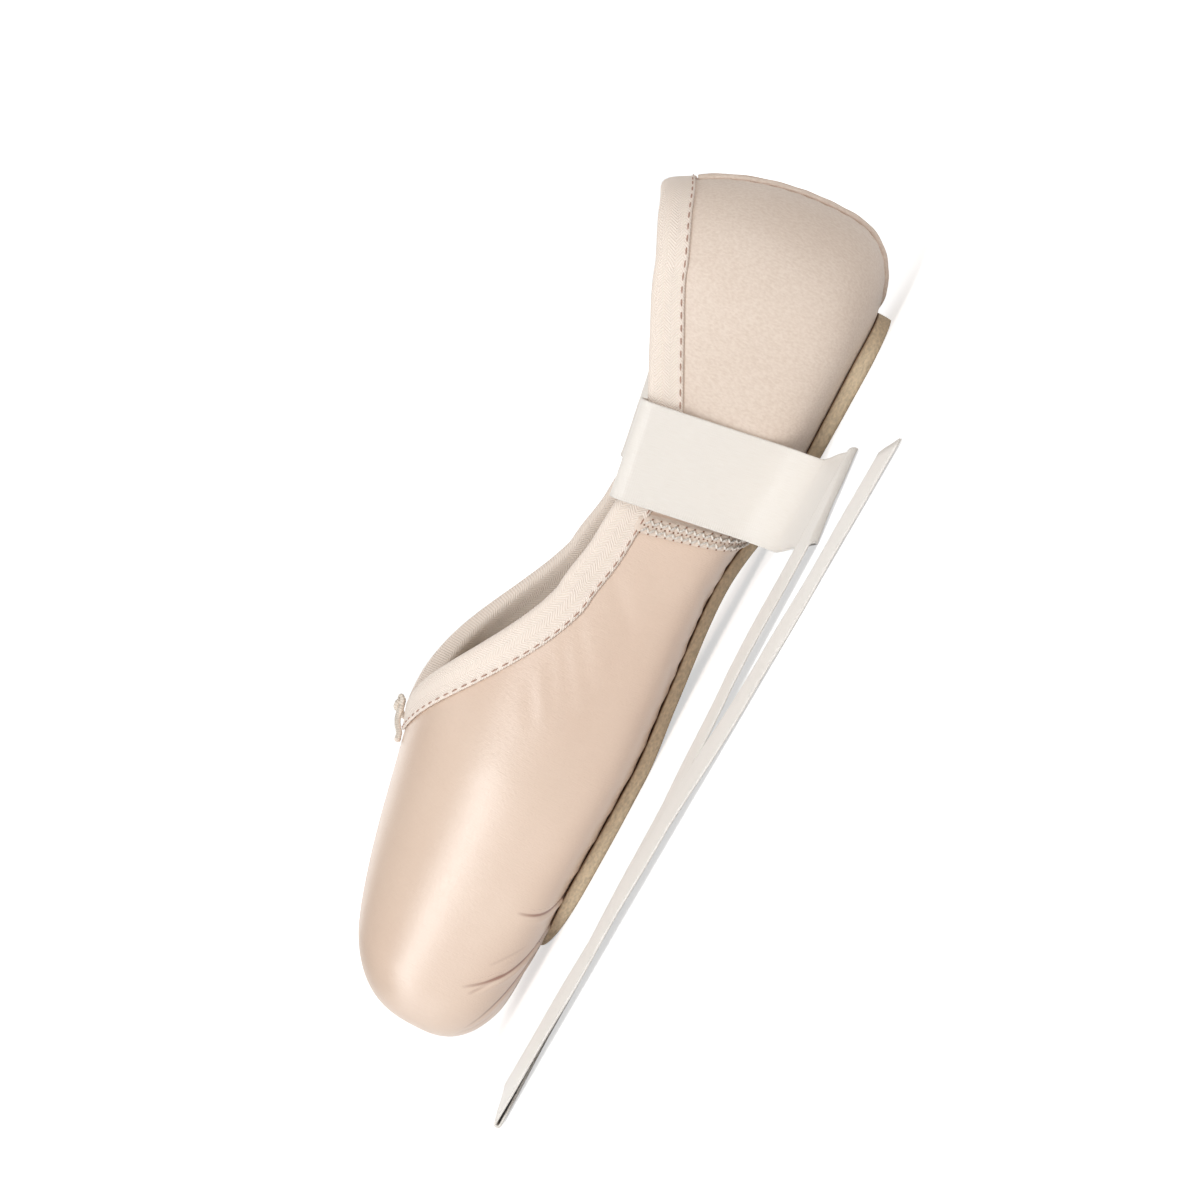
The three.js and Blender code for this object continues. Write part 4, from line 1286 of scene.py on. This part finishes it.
def make_ribbon(name, sizes, bends, side, material):
    """Satin ribbon, sewn inside the collar, folded over it and laid on the floor."""
    cloth = Cloth()
    half = sizes.ribbon_width / MM / 2
    length = sizes.ribbon_length / MM
    thick = sizes.ribbon_thickness / MM
    shares = bands(*RIBBON_ACROSS)
    rows = ribbon_rows(length, bends)
    place = np.array([row[0] for row in rows])
    slant = np.tan(np.radians([row[1] for row in rows]))
    v = shares * half
    u = place[:, None] + v[None] * slant[:, None]
    flat_v = np.broadcast_to(v, u.shape)
    edge = np.clip((np.abs(shares) - 0.90) / 0.08, 0, 1)
    toe = turned((1, 0, 0), (0, 0, 1), RIBBON_TURN)
    rise = turned((0, 0, 1), toe, RIBBON_LEAN)
    slope = math.radians(RIBBON_SLANT)
    along = -math.sin(slope) * toe + math.cos(slope) * rise
    across = math.cos(slope) * toe + math.sin(slope) * rise
    basis = np.stack([along, across, np.cross(along, across)])
    free = np.clip((u - 40) / 20, 0, 1) * np.clip((length - u) / 30 + 0.4, 0, 1)
    wave = RIBBON_WAVE * free * (np.sin(u / 9.0) + np.sin(u / 5.3 + flat_v / 4))
    curl = RIBBON_CURL * free * shares[None] ** 2
    grids = []
    for face in (0.5, -0.5):
        level = face * thick * (1 + 0.5 * edge[None]) + (wave + curl) * 0.5
        flat = np.stack([u, flat_v, np.zeros_like(u)], -1)
        points = np.stack([u, flat_v, level], -1)
        for bend in reversed(bends):
            points = roll_round(bend, flat, points)
        grids.append(mirror(points @ basis + np.array(RIBBON_START), side))
    count, wide = u.shape
    thread = np.stack([u, flat_v, np.broadcast_to(edge, u.shape)], -1)
    first = cloth.add(grids[0], quads_of(count, wide, flip=side < 0), 0, thread)
    second = cloth.add(grids[1], quads_of(count, wide, flip=side > 0), 0, thread)
    cloth.close(first, second, u.shape, side < 0)
    return cloth.make(name, [material])


# Finishes


class Finish:
    """A material and short ways to add its nodes."""

    def __init__(self, name, roughness, specular=0.5):
        self.material = bpy.data.materials.new(name)
        self.material.use_nodes = True
        self.tree = self.material.node_tree
        self.shader = self.tree.nodes["Principled BSDF"]
        self.shader.inputs["Roughness"].default_value = roughness
        self.shader.inputs["Specular IOR Level"].default_value = specular
        self.normal = None

    def node(self, kind, **values):
        """Adds a node, with its properties and the values of its inputs."""
        node = self.tree.nodes.new(kind)
        for name, value in values.items():
            if name.startswith("in_"):
                key = name[3:]
                key = int(key) if key.isdigit() else key.replace("_", " ").title()
                node.inputs[key].default_value = value
            else:
                setattr(node, name, value)
        return node

    def link(self, source, target):
        """Joins an output to an input."""
        self.tree.links.new(source, target)

    def math(self, operation, first, second=None):
        """A sum or other operation on two values or outputs."""
        node = self.node("ShaderNodeMath", operation=operation)
        for i, value in enumerate((first, second)):
            if value is None:
                continue
            if isinstance(value, (int, float)):
                node.inputs[i].default_value = value
            else:
                self.link(value, node.inputs[i])
        return node.outputs[0]

    def attribute(self, name):
        """A value that the mesh carries."""
        return self.node("ShaderNodeAttribute", attribute_name=name)

    def threads(self):
        """Places along and across the cloth, in mm."""
        split = self.node("ShaderNodeSeparateXYZ")
        self.link(self.attribute("thread").outputs["Vector"], split.inputs[0])
        return split.outputs[0], split.outputs[1], split.outputs[2]

    def noise(self, scale, stretch=(1, 1, 1), detail=3.0, source=None):
        """Noise over the object, or over the cloth's own places, as 0 to 1."""
        mapping = self.node("ShaderNodeMapping")
        mapping.inputs["Scale"].default_value = stretch
        if source is None:
            source = self.node("ShaderNodeTexCoord").outputs["Object"]
        self.link(source, mapping.inputs["Vector"])
        noise = self.node("ShaderNodeTexNoise", in_scale=scale, in_detail=detail)
        self.link(mapping.outputs[0], noise.inputs["Vector"])
        return noise.outputs[0]

    def cloth_noise(self, scale, stretch, detail=2.0):
        """Noise along the threads."""
        return self.noise(scale, stretch, detail, self.attribute("thread").outputs["Vector"])

    def blend(self, share, first, second):
        """Mix of two colours or outputs."""
        node = self.node("ShaderNodeMix", data_type="RGBA")
        self.link(share, node.inputs[0])
        for socket, value in ((node.inputs[6], first), (node.inputs[7], second)):
            if hasattr(value, "links"):
                self.link(value, socket)
            else:
                socket.default_value = (*value, 1.0)
        return node.outputs[2]

    def span(self, value, low, high, to_low=0.0, to_high=1.0):
        """A value moved from one range to another."""
        node = self.node("ShaderNodeMapRange", in_1=low, in_2=high, in_3=to_low, in_4=to_high)
        self.link(value, node.inputs[0])
        return node.outputs[0]

    def fold_shade_lines(self, base, tint, pale):
        """Colour with painted shade at the nearest folds: a fine dark line and a soft shaded band beside it,
        with a painted highlight on the lip to one side.
        """
        _, _, first = self.threads()
        split = self.node("ShaderNodeSeparateXYZ")
        self.link(self.attribute("fold").outputs["Vector"], split.inputs[0])
        for away, strength in ((first, split.outputs[0]), (split.outputs[1], split.outputs[2])):
            # Painted highlight: the lip, about 0.9 mm to one side of the line, is blended toward the pale
            # colour.
            lip = self.span(self.math("ABSOLUTE", self.math("SUBTRACT", away, 0.9)), 0.5, 0.1)
            base = self.blend(self.math("MULTIPLY", self.math("MULTIPLY", lip, strength), 0.4), base, pale)
            away = self.math("ABSOLUTE", away)
            # Painted shade: a soft band within 1.4 mm of the line, and the fine dark line within about half a
            # millimetre.
            soft = self.math("MULTIPLY", self.span(away, 1.4, 0.1), strength)
            base = self.blend(self.math("MULTIPLY", soft, 0.2), base, tint)
            line = self.math("MULTIPLY", self.span(away, 0.52, 0.22), strength)
            base = self.blend(self.math("MULTIPLY", line, 0.95), base, tint)
        return base

    def bump(self, height, distance, strength=1.0):
        """Adds relief, in metres, over what is there."""
        node = self.node("ShaderNodeBump", in_distance=distance, in_strength=strength)
        self.link(height, node.inputs["Height"])
        if self.normal is not None:
            self.link(self.normal, node.inputs["Normal"])
        self.normal = node.outputs[0]

    def paint(self, colour_output, roughness_output=None):
        """Joins colour, roughness and relief to the shader."""
        self.link(colour_output, self.shader.inputs["Base Color"])
        if roughness_output is not None:
            self.link(roughness_output, self.shader.inputs["Roughness"])
        if self.normal is not None:
            self.link(self.normal, self.shader.inputs["Normal"])
        return self.material


def satin_finish(colours):
    """Close satin: smooth, softly glossy, with faint threads across the shoe, and fine lines of painted shade
    in its folds, each with a painted highlight on its lip.
    """
    f = Finish("satin", 0.36, 1.0)
    f.shader.inputs["Coat Weight"].default_value = 0.6
    f.shader.inputs["Coat Roughness"].default_value = 0.45
    f.shader.inputs["Coat IOR"].default_value = 1.7
    cloud = f.span(f.noise(38.0, detail=4.0), 0.32, 0.7)
    slub = f.cloth_noise(1.0, (5.0, 0.22, 0.0), 3.0)
    fine = f.cloth_noise(1.0, (2.6, 1.3, 0.0), 2.0)
    tone = f.math("ADD", f.math("MULTIPLY", cloud, 0.5), f.span(slub, 0.3, 0.75, 0.0, 0.3))
    tone = f.math("ADD", tone, f.span(fine, 0.3, 0.7, 0.0, 0.2))
    base = f.blend(tone, colours.satin, colours.satin_shade)
    grain = f.noise(1300.0, detail=2.0)
    f.bump(slub, 0.00010, 0.45)
    f.bump(fine, 0.00010, 0.4)
    f.bump(grain, 0.00012, 0.5)
    f.bump(f.noise(110.0, detail=2.0), 0.0005, 0.14)
    return f.paint(f.fold_shade_lines(base, colours.fold, colours.fold_lip_highlight), f.span(fine, 0.3, 0.7, 0.33, 0.42))


def stretch_satin_finish(colours):
    """Stretch satin: finely grained and duller, with soft clouds of tone."""
    f = Finish("stretch_satin", 0.46, 0.45)
    f.shader.inputs["Sheen Weight"].default_value = 0.18
    f.shader.inputs["Sheen Roughness"].default_value = 0.5
    grain = f.noise(1900.0, (1.0, 1.0, 0.55), 2.0)
    mottle = f.noise(520.0, detail=3.0)
    cloud = f.noise(34.0, detail=2.0)
    tone = f.math("ADD", f.span(grain, 0.34, 0.7, 0.0, 0.55), f.span(mottle, 0.35, 0.7, 0.0, 0.10))
    tone = f.math("ADD", tone, f.span(cloud, 0.35, 0.7, 0.0, 0.2))
    base = f.blend(tone, colours.quarter, colours.quarter_shade)
    f.bump(grain, 0.00016, 0.5)
    f.bump(mottle, 0.00016, 0.12)
    # Painted shade: dark lines beside the heel seam and the side seam, and down the heel seam's middle.
    return f.paint(f.fold_shade_lines(base, colours.seam_line, colours.quarter), f.span(grain, 0.3, 0.7, 0.40, 0.54))


def lining_finish(colours, name, shade):
    """Plain cotton weave."""
    f = Finish(name, 0.85, 0.25)
    along, across, _ = f.threads()
    warp = f.math("SINE", f.math("MULTIPLY", along, 9.0))
    weft = f.math("SINE", f.math("MULTIPLY", across, 9.0))
    weave = f.math("MULTIPLY", warp, weft)
    dark = tuple(c * shade for c in colours.lining)
    base = f.blend(f.span(f.noise(220.0, detail=4.0), 0.3, 0.7), colours.lining, dark)
    f.bump(weave, 0.00010, 0.5)
    f.bump(f.noise(700.0), 0.0001, 0.3)
    return f.paint(base)


def twill_finish(colours):
    """Herringbone twill tape."""
    f = Finish("herringbone_tape", 0.6, 0.35)
    f.shader.inputs["Sheen Weight"].default_value = 0.15
    along, across, _ = f.threads()
    zig = f.math("PINGPONG", across, 1.85)
    rib = f.math("SINE", f.math("MULTIPLY", f.math("ADD", along, zig), 2 * math.pi / 0.78))
    rib = f.span(rib, -1.0, 1.0)
    valley = f.math("LESS_THAN", zig, 0.1)
    relief = f.math("SUBTRACT", rib, f.math("MULTIPLY", valley, 0.6))
    dark = tuple(c * k for c, k in zip(colours.tape, (0.92, 0.87, 0.83)))
    base = f.blend(f.span(rib, 0.0, 0.75, 0.75, 0.0), colours.tape, dark)
    f.bump(relief, 0.00016, 0.6)
    f.bump(f.noise(1500.0, detail=2.0), 0.00006, 0.5)
    return f.paint(base, f.span(f.noise(120.0), 0.3, 0.7, 0.52, 0.68))


def ribbon_finish(colours):
    """Satin ribbon with fine cross ribs and woven edges."""
    f = Finish("ribbon_satin", 0.45, 0.5)
    f.shader.inputs["Sheen Weight"].default_value = 0.25
    along, _, edge = f.threads()
    rib = f.math("SINE", f.math("MULTIPLY", along, 2 * math.pi / 0.55))
    float_lines = f.cloth_noise(1.0, (0.3, 7.0, 1.0), 2.0)
    dark = tuple(c * k for c, k in zip(colours.ribbon, (0.955, 0.94, 0.925)))
    base = f.blend(f.span(float_lines, 0.3, 0.75), colours.ribbon, dark)
    f.bump(float_lines, 0.00003, 0.5)
    f.bump(f.math("MULTIPLY", rib, f.span(edge, 0.0, 1.0, 0.25, 1.0)), 0.00006, 0.5)
    return f.paint(base, f.span(edge, 0.0, 1.0, 0.42, 0.55))


def thread_finish(name, tint, roughness, depth=0.8):
    """Twisted thread or braided cord."""
    f = Finish(name, roughness, 0.4)
    along, around, _ = f.threads()
    run, lap = f.math("MULTIPLY", along, 5.5), f.math("MULTIPLY", around, 2.0)
    twist, back = (f.math("SINE", f.math(way, run, lap)) for way in ("ADD", "SUBTRACT"))
    braid = f.math("MULTIPLY", twist, back)
    dark = tuple(c * depth for c in tint)
    base = f.blend(f.span(braid, -0.6, 0.6), dark, tuple(tint))
    f.bump(braid, 0.00012, 0.7)
    return f.paint(base)


def plain_finish(name, tint, roughness):
    """Sealed tip, or the painted shade of a needle hole, with a little change of tone."""
    f = Finish(name, roughness, 0.3)
    base = f.blend(f.span(f.noise(800.0), 0.3, 0.7), tuple(tint), tuple(c * 0.85 for c in tint))
    return f.paint(base)


def suede_finish(colours):
    """Brushed suede, in darker and lighter patches."""
    f = Finish("suede", 0.92, 0.2)
    f.shader.inputs["Sheen Weight"].default_value = 0.35
    f.shader.inputs["Sheen Roughness"].default_value = 0.6
    nap = f.noise(1100.0, (1.0, 0.35, 1.0), 4.0)
    brushed = f.noise(70.0, (1.0, 2.5, 1.0), 4.0)
    dark = tuple(c * 0.68 for c in colours.suede)
    light = tuple(min(1.0, c * 1.22) for c in colours.suede)
    base = f.blend(f.span(brushed, 0.32, 0.7), dark, light)
    base = f.blend(f.span(nap, 0.4, 0.7, 0.0, 0.5), base, light)
    f.bump(nap, 0.0003, 0.6)
    f.bump(brushed, 0.0005, 0.25)
    return f.paint(base)


def edge_finish(colours):
    """Cut edge of the leather: fibrous layers, with painted shadow along its upper line, under the upper's
    edge.
    """
    f = Finish("sole_edge", 0.7, 0.35)
    _, _, depth = f.threads()
    fibre = f.noise(1300.0, (0.7, 0.7, 1.3), 4.0)
    pale = tuple(min(1.0, c * 1.35) for c in colours.edge)
    dark = tuple(c * k for c, k in zip(colours.edge, (0.40, 0.29, 0.24)))
    base = f.blend(f.span(fibre, 0.35, 0.68), colours.edge, pale)
    # Painted shadow: the top of the edge, where the upper overhangs it, is blended toward the dark colour.
    base = f.blend(f.span(depth, 0.74, 0.92), base, dark)
    f.bump(fibre, 0.0003, 0.5)
    return f.paint(base)


# Operators and panel


class PointeShoeUpper(bpy.types.Operator):
    """Satin vamp and box, stretch-satin quarters and their lining"""

    bl_idname = "pointe_shoe.upper"
    bl_label = "Upper"

    def execute(self, context):
        shoe = context.scene.pointe_shoe
        last = Last(shoe.sizes)
        lining = lining_finish(shoe.colours, "cotton_lining", 0.86)
        satin, stretch = satin_finish(shoe.colours), stretch_satin_finish(shoe.colours)
        dress(make_vamp(last, [satin, lining]), "satin", "upper")
        for side in (1, -1):
            dress(make_quarter(last, side, [stretch, lining]), "satin", "upper")
        return {"FINISHED"}


class PointeShoeSoles(bpy.types.Operator):
    """Leather outsole and sock insole"""

    bl_idname = "pointe_shoe.soles"
    bl_label = "Soles"

    def execute(self, context):
        shoe = context.scene.pointe_shoe
        last = Last(shoe.sizes)
        leather = [suede_finish(shoe.colours), edge_finish(shoe.colours)]
        dress(make_outsole(last, leather), "suede", "outsole")
        sock = lining_finish(shoe.colours, "sock_cotton", 0.8)
        dress(make_insole(last, shoe.sizes.insole_thickness / MM, [sock]), "sock", "insole")
        return {"FINISHED"}


class PointeShoeBinding(bpy.types.Operator):
    """Twill binding of the collar with its stitch line"""

    bl_idname = "pointe_shoe.binding"
    bl_label = "Binding"

    def execute(self, context):
        shoe = context.scene.pointe_shoe
        last = Last(shoe.sizes)
        dress(make_binding(last, twill_finish(shoe.colours)), "tape", "binding")
        thread = thread_finish("tape_thread", shoe.colours.tape_thread, 0.7)
        stitches = make_binding_stitches(last, shoe.sizes.tape_stitch / MM, thread)
        return {"FINISHED"}


class PointeShoeSeams(bpy.types.Operator):
    """Zigzag stitches of the side seams and the raised heel seam"""

    bl_idname = "pointe_shoe.seams"
    bl_label = "Seams"

    def execute(self, context):
        shoe = context.scene.pointe_shoe
        last = Last(shoe.sizes)
        threads = [
            thread_finish("seam_thread", shoe.colours.seam_thread, 0.6, 0.92),
            plain_finish("needle_hole_shade", shoe.colours.needle_hole_shade, 0.9),
        ]
        pitch = shoe.sizes.seam_stitch / MM
        for name, side in (("left", 1), ("right", -1)):
            dress(make_seam_stitches(last, pitch, side, threads), "satin", f"side_seam_{name}")
        dress(make_back_seam(last, [stretch_satin_finish(shoe.colours)]), "satin", "back_seam")
        return {"FINISHED"}


class PointeShoeDrawstring(bpy.types.Operator):
    """Knotted drawstring at the throat"""

    bl_idname = "pointe_shoe.drawstring"
    bl_label = "Drawstring"

    def execute(self, context):
        shoe = context.scene.pointe_shoe
        cord = thread_finish("drawstring_cord", shoe.colours.cord, 0.7)
        tip = plain_finish("sealed_tip", shoe.colours.tape, 0.5)
        piece = make_drawstring(Last(shoe.sizes), shoe.sizes.cord_radius / MM, [cord, tip])
        dress(piece, "cord", "drawstring_knot")
        return {"FINISHED"}


class PointeShoeRibbons(bpy.types.Operator):
    """Two ankle ribbons, laid down beside the shoe"""

    bl_idname = "pointe_shoe.ribbons"
    bl_label = "Ribbons"

    def execute(self, context):
        shoe = context.scene.pointe_shoe
        material = ribbon_finish(shoe.colours)
        for name, side in (("left", 1), ("right", -1)):
            bends = (*RIBBON_HANG, *RIBBON_FLOOR[name])
            piece = make_ribbon(f"satin_ribbon_{name}", shoe.sizes, bends, side, material)
            dress(piece, "ribbon", f"ribbon_{name}")
        return {"FINISHED"}


class PointeShoeStageSet(bpy.types.Operator):
    """Pale floor, soft light and the camera"""

    bl_idname = "pointe_shoe.stage"
    bl_label = "Stage"

    def execute(self, context):
        scene = context.scene
        stage = scene.pointe_shoe.stage
        scene.view_settings.view_transform = "Standard"
        world = bpy.data.worlds.new("studio")
        world.use_nodes = True
        tree = world.node_tree
        sky = tree.nodes["Background"]
        sky.inputs["Color"].default_value = (1.0, 0.98, 0.955, 1.0)
        sky.inputs["Strength"].default_value = stage.sky
        scene.world = world
        self.add_floor(scene)
        for name, place, target, extent, share, tint, tilt in LIGHTS:
            self.add_light(scene, name, place, target, extent, share * stage.key, tint, math.radians(tilt))
        self.add_camera(scene, stage)
        return {"FINISHED"}

    def add_floor(self, scene):
        """A wide floor that curves up far off on all sides."""
        finish = Finish("studio_floor", 0.8, 0.2)
        place = finish.node("ShaderNodeTexCoord").outputs["Object"]
        length = finish.node("ShaderNodeVectorMath", operation="LENGTH")
        finish.link(place, length.inputs[0])
        finish.paint(finish.blend(finish.noise(2.0), (0.71, 0.71, 0.71), (0.73, 0.73, 0.73)))
        finish.shader.inputs["Emission Color"].default_value = (1.0, 1.0, 1.0, 1.0)
        glow = finish.span(length.outputs["Value"], 0.2, 1.2, 0.60, 0.85)
        path = finish.node("ShaderNodeLightPath")
        seen = finish.math("MAXIMUM", path.outputs["Is Camera Ray"], path.outputs["Is Glossy Ray"])
        finish.link(finish.math("MULTIPLY", glow, seen), finish.shader.inputs["Emission Strength"])
        radii, rise = FLOOR_PROFILE["radius"], FLOOR_PROFILE["rise"]
        turns = np.linspace(0, 2 * math.pi, 97)
        points = np.stack(
            [
                radii[:, None] * np.cos(turns),
                radii[:, None] * np.sin(turns),
                np.repeat(rise[:, None], len(turns), 1),
            ],
            -1,
        ).reshape(-1, 3)
        mesh = bpy.data.meshes.new("floor")
        mesh.from_pydata(points.tolist(), [], quads_of(len(radii), len(turns)).tolist())
        mesh.polygons.foreach_set("use_smooth", [True] * len(mesh.polygons))
        mesh.materials.append(finish.material)
        floor = bpy.data.objects.new("floor", mesh)
        scene.collection.objects.link(floor)

    def add_light(self, scene, name, place, target, extent, power, tint, tilt=0.0):
        """A soft light that faces a point, level along its length or tilted down toward the toe."""
        light = bpy.data.lights.new(name, "AREA")
        light.shape = "RECTANGLE"
        light.size, light.size_y = extent
        light.energy = power
        light.color = tint
        lamp = bpy.data.objects.new(name, light)
        lamp.location = place
        facing = (Vector(target) - Vector(place)).to_track_quat("-Z", "Y")
        lamp.rotation_euler = (facing @ Quaternion((0.0, 0.0, 1.0), tilt)).to_euler()
        scene.collection.objects.link(lamp)

    def add_camera(self, scene, stage):
        """The camera, turned round the shoe and rolled so that the toe points down."""
        a, e, r = stage.azimuth, stage.elevation, stage.roll
        back = Vector((math.sin(a) * math.cos(e), -math.cos(a) * math.cos(e), math.sin(e)))
        right = Vector((0, 0, 1)).cross(back).normalized()
        up = back.cross(right)
        turned_right = right * math.cos(r) - up * math.sin(r)
        turned_up = right * math.sin(r) + up * math.cos(r)
        camera = bpy.data.cameras.new("camera")
        camera.lens = stage.lens
        camera.sensor_width = 36.0
        camera.clip_start, camera.clip_end = 0.01, 50.0
        view = bpy.data.objects.new("camera", camera)
        place = Matrix((turned_right, turned_up, back)).transposed().to_4x4()
        place.translation = Vector(TARGET) + back * stage.distance
        view.matrix_world = place
        scene.collection.objects.link(view)
        scene.camera = view


class PointeShoePanel(bpy.types.Panel):
    """Sizes, colours and steps of the shoe"""

    bl_idname = "VIEW3D_PT_pointe_shoe"
    bl_label = "Pointe Shoe"
    bl_space_type = "VIEW_3D"
    bl_region_type = "UI"
    bl_category = "Pointe Shoe"

    def draw(self, context):
        shoe = context.scene.pointe_shoe
        for group in (shoe.sizes, shoe.colours, shoe.stage):
            box = self.layout.box()
            for name in group.bl_rna.properties.keys():
                if name not in ("rna_type", "name"):
                    box.prop(group, name)
        for step in STEPS:
            self.layout.operator(step.bl_idname)


STEPS = (
    PointeShoeStageSet,
    PointeShoeRibbons,
    PointeShoeUpper,
    PointeShoeSoles,
    PointeShoeBinding,
    PointeShoeSeams,
    PointeShoeDrawstring,
)
CLASSES = (
    PointeShoeSizes,
    PointeShoeColours,
    PointeShoeStage,
    PointeShoeSettings,
    *STEPS,
    PointeShoePanel,
)


def register():
    """Adds the classes and the settings."""
    for item in CLASSES:
        bpy.utils.register_class(item)
    bpy.types.Scene.pointe_shoe = bpy.props.PointerProperty(type=PointeShoeSettings)


def unregister():
    """Takes the settings and classes away."""
    del bpy.types.Scene.pointe_shoe
    for item in reversed(CLASSES):
        bpy.utils.unregister_class(item)


def main():
    """Dresses the shoe."""
    register()
    bpy.ops.pointe_shoe.stage()
    bpy.ops.pointe_shoe.ribbons()
    bpy.ops.pointe_shoe.upper()
    bpy.ops.pointe_shoe.soles()
    bpy.ops.pointe_shoe.binding()
    bpy.ops.pointe_shoe.seams()
    bpy.ops.pointe_shoe.drawstring()


if __name__ == "__main__":
    main()
